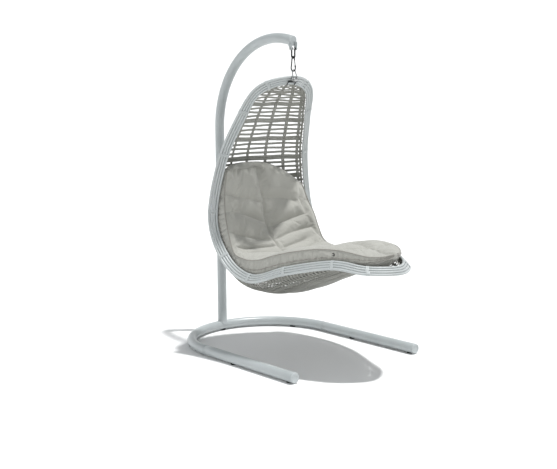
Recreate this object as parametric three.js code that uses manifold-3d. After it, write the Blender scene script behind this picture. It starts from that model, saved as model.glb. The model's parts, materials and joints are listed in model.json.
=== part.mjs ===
// Hanging egg chair on a cantilever tube stand, with a woven shell, a cane rim and one long cushion.
// Millimetres, +Z up. The sitter faces -Y, and the chair is symmetric about the plane X = 0.
// The origin is on the floor, under the middle of the object's bounding box.
import * as THREE from "three";
import { mergeVertices } from "three/addons/utils/BufferGeometryUtils.js";
import Module from "manifold-3d";

const wasm = await Module();
wasm.setup();

// ---------- driving dimensions ----------
const GAP = 0.3; // between pieces that touch

const TUBE_R = 31.75; // 63.5 mm steel tube
const TUBE_WALL = 2;
const TUBE_SIDES = 16;
const BEND_STEPS = 24;
const ARCH_STEPS = 16;
const LEG_SPACING = 1025; // between the centre lines of the two base legs
const LEG_FRONT = -837; // front end of the legs
const BEND_START = 23.5; // where the legs run into the rear bend
const PAD_H = 4; // the pads lift the tube off the floor
const TOP_Z = 2050; // top of the arch
const ARCH_REACH = 607; // half axes of the arch, an ellipse
const ARCH_RISE = 590;
const ARCH_OVERRUN = 16; // degrees that the arch goes on past its top

const HANG_Y = -247; // the chair hangs on the vertical line at this Y
const LUG_PIN_Z = 1946;
const LUG_X = 21;
const LUG_T = 5;
const PIN_R = 5;

const SHACKLE_WIRE = 5;
const SHACKLE_X = 13; // half width between the centre lines of its legs
const SHACKLE_LEG = 45;
const HOOK_WIRE = 4;
const HOOK_TOP_R = 11;
const HOOK_LOW_R = 20;
const HOOK_LENGTH = 91.5; // between the centre lines of the top and bottom bows
const GATE_WIRE = 3.2;
const GATE_PIN_R = 1.5;
const LINK_WIRE = 3.5;
const LINK_TOP_R = 13;
const LINK_FOOT_X = 20;
const BOLT_R = 4;
const BOLT_Z = 1753;
const BOLT_Y = -16; // relative to the hanging line
const BARREL_R = 12;
const BARREL_L = 30;
const EYE_R = 8.5; // outside radius of the link's foot eyes
const EYE_T = 6.4;
const BORE_CLEAR = 0.4;
const BORE_REACH = 40; // a bore's cutter is longer than the piece it cuts
const PLATE_T = 4;
// half widths of bar and stem, then bar low, bar high and stem top along the row
const PLATE = [38, 15, -6, 4, 28];
const STRAP_X = 31;
const STRAP_W = 8;
const STRAP_T = 2;
const STRAP_CLEAR = 1.4;
const RIM_SPANS = 20; // spans of the rim's curve between the rows of RIM and their mirror images

const CANE_R = 8;
const CANE_PITCH = 16.5;
const CANES = 4;
const CANE_SIDES = 6;
const STATIONS = 48; // along one half of the rim, from the hanger to the foot tip
const BINDING_WALL = 2;
const BINDING_CLEAR = 0.4;
const BINDING_SHARE = [0.2, 0.8]; // the stretch of its station that a binding covers
const BINDING_STATIONS = [3, 8, 13, 18, 23, 28, 33, 38, 43];

const SHELL_T = 10;
const SHELL_COLUMNS = 12;
const CUSHION_COLUMNS = 8;

// One row for each tenth of the rim's half length, from the hanger down the side and out to the foot tip:
// Y from the hanging line, Z, half width, depth of the woven wall behind it,
// the wall's angle below horizontal, and the tilt of the row of canes.
const RIM = [
  [15, 1750, 0, 0, -15, -22],
  [88, 1689, 208, 115, -4, -5],
  [191, 1499, 287, 172, 0, 15],
  [296, 1220, 356, 180, 3, 17],
  [313, 874, 417, 137, 20, 22],
  [168, 633, 428, 205, 55, 34],
  [-73, 539, 422, 152, 72, 45],
  [-353, 617, 383, 120, 80, 48],
  [-644, 677, 272, 64, 86, 46],
  [-824, 656, 172, 36, 90, 45],
  [-924, 651, 0, 0, 90, 45],
];

// ---------- materials ----------
const finish = (color, roughness, metalness) => () =>
  new THREE.MeshStandardMaterial({ color, roughness, metalness });
const paintedSteel = finish(0xb4bcc0, 0.45, 0.1);
const blackSteel = finish(0x1d1e20, 0.4, 0.8);
const brightSteel = finish(0xc9cccd, 0.3, 0.9);
const palePlastic = finish(0xa9b0b3, 0.6, 0);
const blackRubber = finish(0x17181a, 0.85, 0);
const cane = finish(0xc2c8ca, 0.55, 0);
const weave = finish(0x9a9a96, 0.7, 0);
const fabric = finish(0xc7c6be, 0.95, 0);

// ---------- helpers ----------
const v3 = (x, y, z) => new THREE.Vector3(x, y, z);
const rad = THREE.MathUtils.degToRad;
const root = new THREE.Group();
const chain = new THREE.Group(); // everything on the hanging line
chain.position.y = HANG_Y;
root.add(chain);

function add(name, geometry, material, parent = root) {
  const mesh = new THREE.Mesh(geometry, material());
  mesh.name = name;
  parent.add(mesh);
  return mesh;
}

// Turns an indexed closed mesh the right way out.
function facingOut(geometry) {
  const p = geometry.getAttribute("position");
  const index = geometry.index.array;
  let volume = 0;
  for (let i = 0; i < index.length; i += 3) {
    const [a, b, c] = [0, 1, 2].map((k) => v3().fromBufferAttribute(p, index[i + k]));
    volume += a.dot(b.cross(c));
  }
  if (volume < 0) {
    for (let i = 0; i < index.length; i += 3) {
      [index[i + 1], index[i + 2]] = [index[i + 2], index[i + 1]];
    }
  }
  geometry.computeVertexNormals();
  return geometry;
}

// A closed body from rings with an even number of points. The row of rings is closed too, or capped.
function loft(rings, closed) {
  const n = rings[0].length;
  const position = rings.flat().flatMap((p) => [p.x, p.y, p.z]);
  const index = [];
  const last = closed ? rings.length : rings.length - 1;
  for (let i = 0; i < last; i++) {
    const j = (i + 1) % rings.length;
    for (let k = 0; k < n; k++) {
      const m = (k + 1) % n;
      index.push(i * n + k, i * n + m, j * n + m, i * n + k, j * n + m, j * n + k);
    }
  }
  if (!closed) {
    // A cap is a ladder between the two halves of its ring, so a bent band is capped along its bend.
    const end = (rings.length - 1) * n;
    for (let k = 0; k < n / 2 - 1; k++) {
      const [a, b, c, d] = [k, k + 1, n - 2 - k, n - 1 - k];
      index.push(a, c, b, a, d, c);
      index.push(end + a, end + b, end + c, end + a, end + c, end + d);
    }
  }
  const geometry = new THREE.BufferGeometry();
  geometry.setAttribute("position", new THREE.Float32BufferAttribute(position, 3));
  geometry.setIndex(index);
  return facingOut(geometry);
}

const circle = (r, sides) =>
  Array.from({ length: sides }, (_, i) => {
    const a = (2 * Math.PI * i) / sides;
    return new THREE.Vector2(r * Math.cos(a), r * Math.sin(a));
  });

// A rod, or with a wall a pipe, along a curve.
function alongCurve(curve, r, steps, sides = 24, wall = 0) {
  const shape = new THREE.Shape(circle(r, sides));
  if (wall) shape.holes.push(new THREE.Path(circle(r - wall, sides)));
  return new THREE.ExtrudeGeometry(shape, { steps, extrudePath: curve });
}

// A straight rod or pipe from a to b.
const rod = (a, b, r, sides = 16, wall = 0) =>
  alongCurve(new THREE.LineCurve3(a, b), r, 1, sides, wall);

// A flat plate: an outline in Y and Z, with its thickness along X and centred on x.
function plateYZ(shape, thickness, x, curveSegments = 8) {
  const g = new THREE.ExtrudeGeometry(shape, { depth: thickness, bevelEnabled: false, curveSegments });
  const toYZ = new THREE.Matrix4().makeBasis(v3(0, 1, 0), v3(0, 0, 1), v3(1, 0, 0));
  return g.applyMatrix4(toYZ).translate(x - thickness / 2, 0, 0);
}

function toSolid(geometry) {
  const bare = new THREE.BufferGeometry();
  bare.setAttribute("position", geometry.getAttribute("position"));
  bare.setIndex(geometry.index);
  const merged = mergeVertices(bare, 1e-3);
  return new wasm.Manifold(
    new wasm.Mesh({
      numProp: 3,
      vertProperties: merged.attributes.position.array,
      triVerts: new Uint32Array(merged.index.array),
    }),
  );
}

function toGeometry(solid) {
  const mesh = solid.getMesh();
  const g = new THREE.BufferGeometry();
  g.setAttribute("position", new THREE.BufferAttribute(new Float32Array(mesh.vertProperties), 3));
  g.setIndex(new THREE.BufferAttribute(new Uint32Array(mesh.triVerts), 1));
  g.computeVertexNormals();
  return g;
}

const joined = (first, ...rest) =>
  toGeometry(rest.reduce((s, g) => s.add(toSolid(g)), toSolid(first)));
const cut = (first, ...rest) =>
  toGeometry(rest.reduce((s, g) => s.subtract(toSolid(g)), toSolid(first)));

// ---------- curves of the stand ----------
const TUBE_Z = PAD_H + TUBE_R;
const BEND_R = LEG_SPACING / 2;
const REAR_Y = BEND_START + BEND_R;
const ARCH_START_Z = TOP_Z - TUBE_R - ARCH_RISE;

class RearBend extends THREE.Curve {
  getPoint(t, target = v3()) {
    const a = Math.PI * t;
    return target.set(-BEND_R * Math.cos(a), BEND_START + BEND_R * Math.sin(a), TUBE_Z);
  }
}

class Arch extends THREE.Curve {
  getPoint(t, target = v3()) {
    const a = rad((90 + ARCH_OVERRUN) * t);
    const y = REAR_Y - ARCH_REACH * (1 - Math.cos(a));
    return target.set(0, y, ARCH_START_Z + ARCH_RISE * Math.sin(a));
  }
}

// ---------- stand ----------
function makeBase() {
  add("base_rear_bend", alongCurve(new RearBend(), TUBE_R, BEND_STEPS, TUBE_SIDES, TUBE_WALL), paintedSteel);
  for (const [side, sign] of [["left", -1], ["right", 1]]) {
    const x = sign * BEND_R;
    const front = v3(x, LEG_FRONT, TUBE_Z);
    const back = v3(x, BEND_START - GAP, TUBE_Z);
    add(`${side}_base_leg`, rod(front, back, TUBE_R, TUBE_SIDES, TUBE_WALL), paintedSteel);
    makeLegPlug(side, x);
  }
}

// The plug has a rim that covers the tube's end and a spigot inside it.
function makeLegPlug(side, x) {
  const spigot = TUBE_R - TUBE_WALL - 1;
  const outline = [
    [0, -6],
    [TUBE_R * 0.6, -5.4],
    [TUBE_R - 3, -4],
    [TUBE_R, -GAP - 1.5],
    [TUBE_R, -GAP],
    [spigot, -GAP],
    [spigot, 18],
    [0, 18],
  ].map(([r, y]) => new THREE.Vector2(r, y));
  const g = new THREE.LatheGeometry(outline, TUBE_SIDES).translate(x, LEG_FRONT, TUBE_Z);
  add(`${side}_leg_plug`, g, palePlastic);
}

// Each pad is a puck whose top is hollowed to the tube.
function makePads() {
  const bend = new RearBend();
  const bendCutter = alongCurve(bend, TUBE_R + GAP, BEND_STEPS, TUBE_SIDES);
  const places = [
    ["rear_pad", bend.getPoint(0.5), bendCutter],
    ["left_bend_pad", bend.getPoint(0.17), bendCutter],
    ["right_bend_pad", bend.getPoint(0.83), bendCutter],
    ["left_middle_pad", v3(-BEND_R, -260, TUBE_Z), null],
    ["right_middle_pad", v3(BEND_R, -260, TUBE_Z), null],
    ["left_front_pad", v3(-BEND_R, LEG_FRONT + 45, TUBE_Z), null],
    ["right_front_pad", v3(BEND_R, LEG_FRONT + 45, TUBE_Z), null],
  ];
  for (const [name, at, cutter] of places) {
    const along = v3(0, 60, 0);
    const tool = cutter ?? rod(at.clone().sub(along), at.clone().add(along), TUBE_R + GAP, TUBE_SIDES);
    const puck = new THREE.CylinderGeometry(19, 21, 12, 16);
    puck.rotateX(Math.PI / 2).translate(at.x, at.y, 6);
    add(name, cut(puck, tool), blackRubber);
  }
}

function makeMast() {
  const bend = alongCurve(new RearBend(), TUBE_R + GAP, BEND_STEPS, TUBE_SIDES);
  const foot = v3(0, REAR_Y, TUBE_Z);
  const joint = v3(0, REAR_Y, ARCH_START_Z - GAP);
  add("post", cut(rod(foot, joint, TUBE_R, TUBE_SIDES, TUBE_WALL), bend), paintedSteel);
  add("arch_arm", alongCurve(new Arch(), TUBE_R, ARCH_STEPS, TUBE_SIDES, TUBE_WALL), paintedSteel);
}

// The cap closes the arm's end, square to the tube. Two lugs hang under it and carry the pin.
function makeArmEnd() {
  const arch = new Arch();
  const end = arch.getPoint(1);
  const along = arch.getTangent(1);
  const capStart = end.clone().addScaledVector(along, GAP);
  const capEnd = end.clone().addScaledVector(along, 7);
  add("arm_end_cap", rod(capStart, capEnd, TUBE_R + 0.8, 24), palePlastic);

  const armCutter = joined(
    alongCurve(arch, TUBE_R + GAP, ARCH_STEPS, TUBE_SIDES),
    rod(
      end.clone().addScaledVector(along, -2),
      end.clone().addScaledVector(along, 7 + GAP),
      TUBE_R + 1.1,
      24,
    ),
  );
  const outline = new THREE.Shape();
  outline.moveTo(HANG_Y - 9, LUG_PIN_Z);
  outline.absarc(HANG_Y, LUG_PIN_Z, 10, Math.PI, 2 * Math.PI, false);
  outline.lineTo(HANG_Y + 42, end.z - 8);
  outline.lineTo(HANG_Y - 16, end.z - 20);
  outline.holes.push(new THREE.Path().absarc(HANG_Y, LUG_PIN_Z, PIN_R + 0.4, 0, 2 * Math.PI, true));
  for (const [side, sign] of [["left", -1], ["right", 1]]) {
    add(`${side}_lug`, cut(plateYZ(outline, LUG_T, sign * LUG_X), armCutter), paintedSteel);
  }
}

// A hexagon-headed bolt along X with its nut as a piece of its own.
function makeBolt(name, x0, x1, y, z, r, head, material, parent) {
  const shank = rod(v3(x0, y, z), v3(x1, y, z), r, 16);
  const hex = rod(v3(x0 - head * 0.6, y, z), v3(x0, y, z), head, 6);
  add(name, joined(shank, hex), material, parent);
  const nut = rod(v3(x1 - head * 0.9, y, z), v3(x1 - 2, y, z), head, 6);
  const bore = rod(v3(x1 - head * 2, y, z), v3(x1 + 5, y, z), r + GAP, 16);
  add(`${name}_nut`, cut(nut, bore), material, parent);
}

// ---------- shackle, snap hook and link ----------
const BOW_Z = LUG_PIN_Z - SHACKLE_LEG - SHACKLE_X; // centre line of the shackle's lowest point
const HOOK_TOP = BOW_Z + SHACKLE_WIRE + HOOK_WIRE + 0.5;
const HOOK_LOW = HOOK_TOP - HOOK_LENGTH;
const LINK_TOP = HOOK_LOW + HOOK_WIRE + LINK_WIRE + 1;

// Points along an arc, as pairs of numbers.
const arcPoints = (cx, cz, r, from, to, n) =>
  Array.from({ length: n + 1 }, (_, i) => {
    const a = rad(from + ((to - from) * i) / n);
    return [cx + r * Math.cos(a), cz + r * Math.sin(a)];
  });

// A wire through points, each joint mitred, capped at its ends or closed on itself.
function wire(points, r, closed = false, sides = 8) {
  const n = points.length;
  const rings = points.map((p, i) => {
    const before = closed ? points[(i + n - 1) % n] : points[Math.max(i - 1, 0)];
    const after = closed ? points[(i + 1) % n] : points[Math.min(i + 1, n - 1)];
    const inward = p.clone().sub(before).normalize();
    const outward = after.clone().sub(p).normalize();
    const tangent = inward.clone().add(outward).normalize();
    const half = Math.max(0.5, inward.lengthSq() && outward.lengthSq() ? tangent.dot(outward) : 1);
    return { p, tangent, half };
  });
  const planeNormal = normalOf(points);
  return loft(
    rings.map(({ p, tangent, half }) => {
      const side = tangent.clone().cross(planeNormal).normalize();
      const up = planeNormal.clone();
      return circle(r, sides).map((c) =>
        p.clone().addScaledVector(side, c.x / half).addScaledVector(up, c.y),
      );
    }),
    closed,
  );
}

// The normal of the plane that a bent wire lies in.
function normalOf(points) {
  const n = v3(0, 0, 0);
  for (let i = 2; i < points.length; i++) {
    const a = points[i - 1].clone().sub(points[0]);
    const b = points[i].clone().sub(points[0]);
    n.add(a.cross(b));
  }
  return n.normalize();
}

function makeShackle() {
  const legTop = LUG_PIN_Z - 6;
  const centre = LUG_PIN_Z - SHACKLE_LEG;
  const outline = [
    [-SHACKLE_X, legTop],
    ...arcPoints(0, centre, SHACKLE_X, 180, 360, 12),
    [SHACKLE_X, legTop],
  ];
  const bow = wire(outline.map(([x, z]) => v3(x, 0, z)), SHACKLE_WIRE);
  const eyes = [-1, 1].map((s) =>
    rod(v3(s * SHACKLE_X - 4, 0, LUG_PIN_Z), v3(s * SHACKLE_X + 4, 0, LUG_PIN_Z), 9.5, 16),
  );
  const bore = rod(v3(-30, 0, LUG_PIN_Z), v3(30, 0, LUG_PIN_Z), PIN_R + 0.4, 16);
  add("shackle", cut(joined(bow, ...eyes), bore), blackSteel, chain);
  makeBolt("lug_pin", -LUG_X - 3.2, LUG_X + 11, 0, LUG_PIN_Z, PIN_R, 8.5, brightSteel, chain);
}

// The hook is a pear of wire in the plane X = 0. The gate closes the straight on its front side.
const HOOK_TOP_C = HOOK_TOP - HOOK_TOP_R;
const HOOK_LOW_C = HOOK_LOW + HOOK_LOW_R;
const HOOK_LEAN = Math.asin((HOOK_LOW_R - HOOK_TOP_R) / (HOOK_TOP_C - HOOK_LOW_C));
const hookLine = (share) => {
  const top = v3(0, -HOOK_TOP_R * Math.cos(HOOK_LEAN), HOOK_TOP_C + HOOK_TOP_R * Math.sin(HOOK_LEAN));
  const low = v3(0, -HOOK_LOW_R * Math.cos(HOOK_LEAN), HOOK_LOW_C + HOOK_LOW_R * Math.sin(HOOK_LEAN));
  return top.lerp(low, share);
};
const GATE_TOP = 0.24;
const GATE_LOW = 0.86;

function makeHook() {
  const lean = THREE.MathUtils.radToDeg(HOOK_LEAN);
  const top = arcPoints(0, HOOK_TOP_C, HOOK_TOP_R, 180 - lean, lean, 10);
  const low = arcPoints(0, HOOK_LOW_C, HOOK_LOW_R, lean, -180 - lean, 16);
  const outline = [...top, ...low].map(([y, z]) => v3(0, y, z));
  const body = wire([hookLine(GATE_TOP - 0.02), ...outline, hookLine(GATE_LOW - 0.04)], HOOK_WIRE);
  const hinge = hookLine(GATE_LOW);
  const knuckle = rod(v3(-4.4, hinge.y, hinge.z), v3(4.4, hinge.y, hinge.z), 4.2, 12);
  const slot = new THREE.BoxGeometry(5.8, 12, 13).translate(0, hinge.y, hinge.z + 1.8);
  const bore = rod(v3(-10, hinge.y, hinge.z), v3(10, hinge.y, hinge.z), GATE_PIN_R + 0.2, 10);
  add("snap_hook", cut(joined(body, knuckle), slot, bore), blackSteel, chain);

  const gateRod = rod(hookLine(GATE_LOW), hookLine(GATE_TOP), GATE_WIRE - 0.7, 10);
  const eye = rod(v3(-2.4, hinge.y, hinge.z), v3(2.4, hinge.y, hinge.z), 3.4, 12);
  add("hook_gate", cut(joined(gateRod, eye), bore), brightSteel, chain);
  const pinEnds = [-4.6, 4.6].map((x) => v3(x, hinge.y, hinge.z));
  add("gate_pin", rod(...pinEnds, GATE_PIN_R - 0.05, 10), brightSteel, chain);
}

// The link's legs lean forward to the hanger's bolt and spread to either side of its barrel.
function makeLink() {
  const centre = LINK_TOP - LINK_TOP_R;
  const arc = arcPoints(0, centre, LINK_TOP_R, 200, -20, 12);
  const lean = (z) => (BOLT_Y * (LINK_TOP - z)) / (LINK_TOP - BOLT_Z);
  const foot = BOLT_Z + 6;
  const outline = [[-LINK_FOOT_X, foot], ...arc, [LINK_FOOT_X, foot]];
  const legs = wire(outline.map(([x, z]) => v3(x, lean(z), z)), LINK_WIRE);
  const eyes = [-1, 1].map((s) => {
    const x = s * LINK_FOOT_X;
    return rod(v3(x - EYE_T / 2, BOLT_Y, BOLT_Z), v3(x + EYE_T / 2, BOLT_Y, BOLT_Z), EYE_R, 16);
  });
  const bore = rod(v3(-BORE_REACH, BOLT_Y, BOLT_Z), v3(BORE_REACH, BOLT_Y, BOLT_Z), BOLT_R + BORE_CLEAR, 16);
  add("chair_link", cut(joined(legs, ...eyes), bore), brightSteel, chain);
  const [head, tip] = [-LINK_FOOT_X - 3.7, LINK_FOOT_X + 11];
  makeBolt("hanger_bolt", head, tip, BOLT_Y, BOLT_Z, BOLT_R, 7, brightSteel, chain);
}

// ---------- frames along the rim ----------
// The rim runs down the sitter's right side, round the foot and back up the left side.
const mirrored = (rows, place) => [...rows, ...rows.slice(1, -1).reverse().map(([p, f]) => [p, -f])].map(place);
const withSign = RIM.map((row) => [row, -1]);
const rimCurve = new THREE.CatmullRomCurve3(
  mirrored(withSign, ([[y, z, w], sign]) => v3(sign * w, y, z)),
  true,
  "catmullrom",
);
const wallCurve = new THREE.CatmullRomCurve3(
  mirrored(withSign, ([[, , , depth, angle, tilt]]) => v3(depth, angle, tilt)),
  true,
  "catmullrom",
);

// t runs round the whole rim from 0 to 1. wall points into the weave, out points away from the opening,
// and row is the direction from the inner cane to the outer one.
function frameAt(t) {
  const turn = ((t % 1) + 1) % 1;
  const p = rimCurve.getPoint(turn);
  const tangent = rimCurve.getTangent(turn);
  const shape = wallCurve.getPoint(turn);
  const wall = v3(0, Math.cos(rad(shape.y)), -Math.sin(rad(shape.y)));
  const out = wall.clone().cross(tangent).normalize();
  const back = tangent.clone().cross(out).normalize();
  const tilt = rad(shape.z);
  const row = out.clone().multiplyScalar(Math.cos(tilt)).addScaledVector(back, Math.sin(tilt));
  const face = row.clone().cross(tangent).normalize();
  return { p, tangent, wall, out, row, face, depth: shape.x };
}

const LOOP = 2 * STATIONS;
const loopFrames = Array.from({ length: LOOP }, (_, i) => frameAt(i / LOOP));
const caneOffset = (k) => (k - (CANES - 1) / 2) * CANE_PITCH;

function makeCanes() {
  const names = ["inner", "second", "third", "outer"];
  for (let k = 0; k < CANES; k++) {
    const rings = loopFrames.map(({ p, row, face }) =>
      circle(CANE_R, CANE_SIDES).map((c) =>
        p.clone().addScaledVector(row, caneOffset(k) + c.x).addScaledVector(face, c.y),
      ),
    );
    add(`${names[k]}_rim_cane`, loft(rings, true), cane, chain);
  }
}

// A binding is a short sleeve round the row of canes: an oval ring between two stations.
function oval(extra) {
  const r = CANE_R + extra;
  const half = caneOffset(CANES - 1);
  const right = arcPoints(half, 0, r, -90, 90, CANE_SIDES);
  const left = arcPoints(-half, 0, r, 90, 270, CANE_SIDES);
  return [...right, ...left];
}

function makeBinding(name, station) {
  const a = loopFrames[station % LOOP];
  const b = loopFrames[(station + 1) % LOOP];
  const at = (share, [u, v]) => {
    const place = ({ p, row, face }) => p.clone().addScaledVector(row, u).addScaledVector(face, v);
    return place(a).lerp(place(b), share);
  };
  const outer = oval(BINDING_CLEAR + BINDING_WALL);
  const inner = oval(BINDING_CLEAR);
  const [from, to] = BINDING_SHARE;
  // The ring's own section is the four-cornered outline of its wall, swept round the oval.
  const rings = outer.map((q, i) => [at(from, q), at(to, q), at(to, inner[i]), at(from, inner[i])]);
  add(name, loft(rings, true), cane, chain);
}

function makeBindings() {
  for (const station of BINDING_STATIONS) {
    makeBinding(`left_binding_${station}`, station);
    makeBinding(`right_binding_${station}`, LOOP - 1 - station);
  }
}

// ---------- woven shell ----------
// A point of the shell's middle surface. s runs from the hanger to the foot tip; side runs from -1 to 1.
// Each cross-section is half an ellipse hung behind the inner cane.
function shellEdge(frame) {
  return frame.p.clone()
    .addScaledVector(frame.row, caneOffset(0))
    .addScaledVector(frame.wall, CANE_R + BINDING_CLEAR + BINDING_WALL + SHELL_T / 2 + 2)
    .addScaledVector(frame.out, SHELL_T / 2 - CANE_R);
}

function shellPoint(frame, side) {
  const edge = shellEdge(frame);
  const a = (side * Math.PI) / 2;
  const half = Math.abs(edge.x);
  const mid = v3(0, edge.y, edge.z).addScaledVector(frame.wall, frame.depth * Math.cos(a));
  return mid.add(v3(half * Math.sin(a), 0, 0));
}

// Surface normals from the grid itself, so a sheet can be thickened.
function thickened(grid, inner, outer) {
  const rows = grid.length;
  const cols = grid[0].length;
  const normal = (i, j) => {
    const along = grid[Math.min(i + 1, rows - 1)][j].clone().sub(grid[Math.max(i - 1, 0)][j]);
    const across = grid[i][Math.min(j + 1, cols - 1)].clone().sub(grid[i][Math.max(j - 1, 0)]);
    return across.cross(along).normalize();
  };
  const shifted = (d) =>
    grid.map((row, i) => row.map((p, j) => p.clone().addScaledVector(normal(i, j), d(i, j))));
  const a = shifted(inner);
  const b = shifted(outer);
  // Each ring goes along one face of a row and back along the other.
  return loft(a.map((row, i) => [...row, ...b[i].slice().reverse()]), false);
}

const EDGE_SIDE = 0.985; // the sheet stops just short of the rim canes
const sides = (n, limit) => Array.from({ length: n + 1 }, (_, j) => limit * (-1 + (2 * j) / n));

function makeShellPanel(name, from, to) {
  const grid = [];
  for (let i = from; i <= to; i++) {
    grid.push(sides(SHELL_COLUMNS, EDGE_SIDE).map((side) => shellPoint(loopFrames[i], side)));
  }
  // Neighbouring panels meet with a small gap.
  const inset = (row, next) => row.forEach((p, j) => p.lerp(next[j], 0.012));
  inset(grid[0], grid[1]);
  inset(grid[grid.length - 1], grid[grid.length - 2]);
  add(name, thickened(grid, () => -SHELL_T / 2, () => SHELL_T / 2), weave, chain);
}

function makeShell() {
  makeShellPanel("hood_weave", 2, 9);
  makeShellPanel("upper_back_weave", 9, 15);
  makeShellPanel("lower_back_weave", 15, 21);
  makeShellPanel("heel_weave", 21, 27);
  makeShellPanel("seat_weave", 27, 34);
  makeShellPanel("leg_rest_weave", 34, 46);
}

// ---------- cushion ----------
// One row for each place along the cushion: station, height of the top seams above the rim's plane,
// height of the top's middle, thickness at the sides, thickness in the middle.
const CUSHION = [
  [14.2, 0, -120, 50, 32],
  [16, 15, -38, 76, 92],
  [18, 50, 5, 106, 120],
  [20, 68, 2, 114, 122],
  [22, 60, 8, 85, 132],
  [24, 45, 30, 75, 148],
  [26, 62, 50, 85, 150],
  [28, 92, 76, 112, 150],
  [30, 112, 96, 130, 150],
  [33, 98, 92, 116, 140],
  [36, 84, 80, 102, 122],
  [39, 64, 64, 80, 100],
  [42, 60, 64, 45, 72],
  [45, 66, 70, 26, 44],
  [47, 78, 78, 12, 16],
];
const CUSHION_STEP = 1.0; // stations between the cushion's rings
const CUSHION_INSET = 30; // from the inner cane to the cushion's side

const between = (a, b, share) => a.map((value, k) => value + (b[k] - value) * share);

function cushionAt(station) {
  const next = Math.max(1, CUSHION.findIndex((row) => row[0] >= station));
  const [a, b] = [CUSHION[next - 1], CUSHION[next]];
  return between(a, b, (station - a[0]) / (b[0] - a[0]));
}

// The rings lie across the cushion. The top is a parabola between its seams, and so is the bottom.
function makeCushion() {
  const first = CUSHION[0][0];
  const last = CUSHION[CUSHION.length - 1][0];
  const count = Math.round((last - first) / CUSHION_STEP);
  const rings = [];
  for (let i = 0; i <= count; i++) {
    const station = first + ((last - first) * i) / count;
    const [, seam, middle, sideT, middleT] = cushionAt(Math.min(station, last - 1e-6));
    const frame = frameAt(station / LOOP);
    const edge = frame.p.clone().addScaledVector(frame.row, caneOffset(0));
    const half = Math.max(Math.abs(edge.x) - CUSHION_INSET, 12);
    const place = (b, height) =>
      v3(b * half, edge.y, edge.z).addScaledVector(frame.wall, -height);
    const across = sides(CUSHION_COLUMNS, 1);
    const top = across.map((b) => place(b, middle + (seam - middle) * b * b));
    const lowMiddle = middle - middleT;
    const low = across.map((b) => place(b, lowMiddle + (seam - sideT - lowMiddle) * b * b));
    rings.push([...low, ...top.reverse()]);
  }
  add("cushion", loft(rings, false), fabric, chain);
}

// ---------- hanger on the rim ----------
// At its top the row of canes leans forward. The hanger is laid out flat on the row, in U along X,
// V along the row and W out of its face, and is then leaned with it.
function makeHanger() {
  const top = loopFrames[0];
  const lean = Math.atan2(-top.row.y, top.row.z);
  const face = CANE_R + STRAP_CLEAR + STRAP_T + GAP; // the plate's back
  const plateFace = face + PLATE_T;
  const toRow = new THREE.Matrix4()
    .makeTranslation(0, top.p.y, top.p.z)
    .multiply(new THREE.Matrix4().makeRotationX(lean));
  const tee = new THREE.Shape();
  const [barX, stemX, barLow, barHigh, stemTop] = PLATE;
  [
    [-barX, barLow],
    [barX, barLow],
    [barX, barHigh],
    [stemX, barHigh],
    [stemX, stemTop],
    [-stemX, stemTop],
    [-stemX, barHigh],
    [-barX, barHigh],
  ].forEach(([u, v], i) => (i ? tee.lineTo(u, v) : tee.moveTo(u, v)));
  const plate = new THREE.ExtrudeGeometry(tee, { depth: PLATE_T, bevelEnabled: false });
  plate.rotateX(Math.PI / 2).translate(0, -face, 0).applyMatrix4(toRow);
  add("clamp_plate", plate, blackSteel, chain);

  const barrelEnds = [-BARREL_L / 2, BARREL_L / 2].map((x) => v3(x, BOLT_Y, BOLT_Z));
  const barrel = rod(...barrelEnds, BARREL_R, 20);
  const bore = rod(v3(-BORE_REACH, BOLT_Y, BOLT_Z), v3(BORE_REACH, BOLT_Y, BOLT_Z), BOLT_R + BORE_CLEAR, 16);
  const beyond = new THREE.BoxGeometry(60, 40, 90)
    .translate(0, 20 - plateFace - GAP, 0)
    .applyMatrix4(toRow);
  add("hanger_barrel", cut(barrel, bore, beyond), brightSteel, chain);

  // A strap is a flat J: down the front of the lower canes, under the row and up its back.
  const low = -caneOffset(CANES - 1);
  const reach = CANE_R + STRAP_CLEAR;
  const outline = [
    [-reach, barHigh],
    ...arcPoints(0, low, reach, 180, 360, 10),
    [reach, -low],
  ];
  const outer = thickOutline(outline, STRAP_T);
  const strapShape = new THREE.Shape();
  const around = [...outline, ...outer.reverse()];
  around.forEach(([w, v], i) => (i ? strapShape.lineTo(w, v) : strapShape.moveTo(w, v)));
  const aside = frameAt(STRAP_X / RIM[1][2] / RIM_SPANS).p;
  for (const [side, sign] of [["left", -1], ["right", 1]]) {
    const strap = plateYZ(strapShape, STRAP_W, sign * STRAP_X).applyMatrix4(toRow);
    add(`${side}_clamp_strap`, strap.translate(0, aside.y - top.p.y, aside.z - top.p.z), blackSteel, chain);
  }
}

// An open outline moved outward by t, away from the row of canes.
function thickOutline(outline, t) {
  return outline.map((point, i) => {
    const a = outline[Math.max(i - 1, 0)];
    const b = outline[Math.min(i + 1, outline.length - 1)];
    const length = Math.hypot(b[0] - a[0], b[1] - a[1]);
    return [point[0] + ((b[1] - a[1]) / length) * t, point[1] - ((b[0] - a[0]) / length) * t];
  });
}

makeBase();
makePads();
makeMast();
makeArmEnd();
makeShackle();
makeHook();
makeLink();
makeHanger();
makeCanes();
makeBindings();
makeShell();
makeCushion();

// The origin goes under the middle of the bounding box.
const box = new THREE.Box3().setFromObject(root, true);
root.position.y = -(box.min.y + box.max.y) / 2;

export default root;
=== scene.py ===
import json
import math

import bmesh
import bpy
import numpy as np
from mathutils import Matrix, Vector

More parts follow.
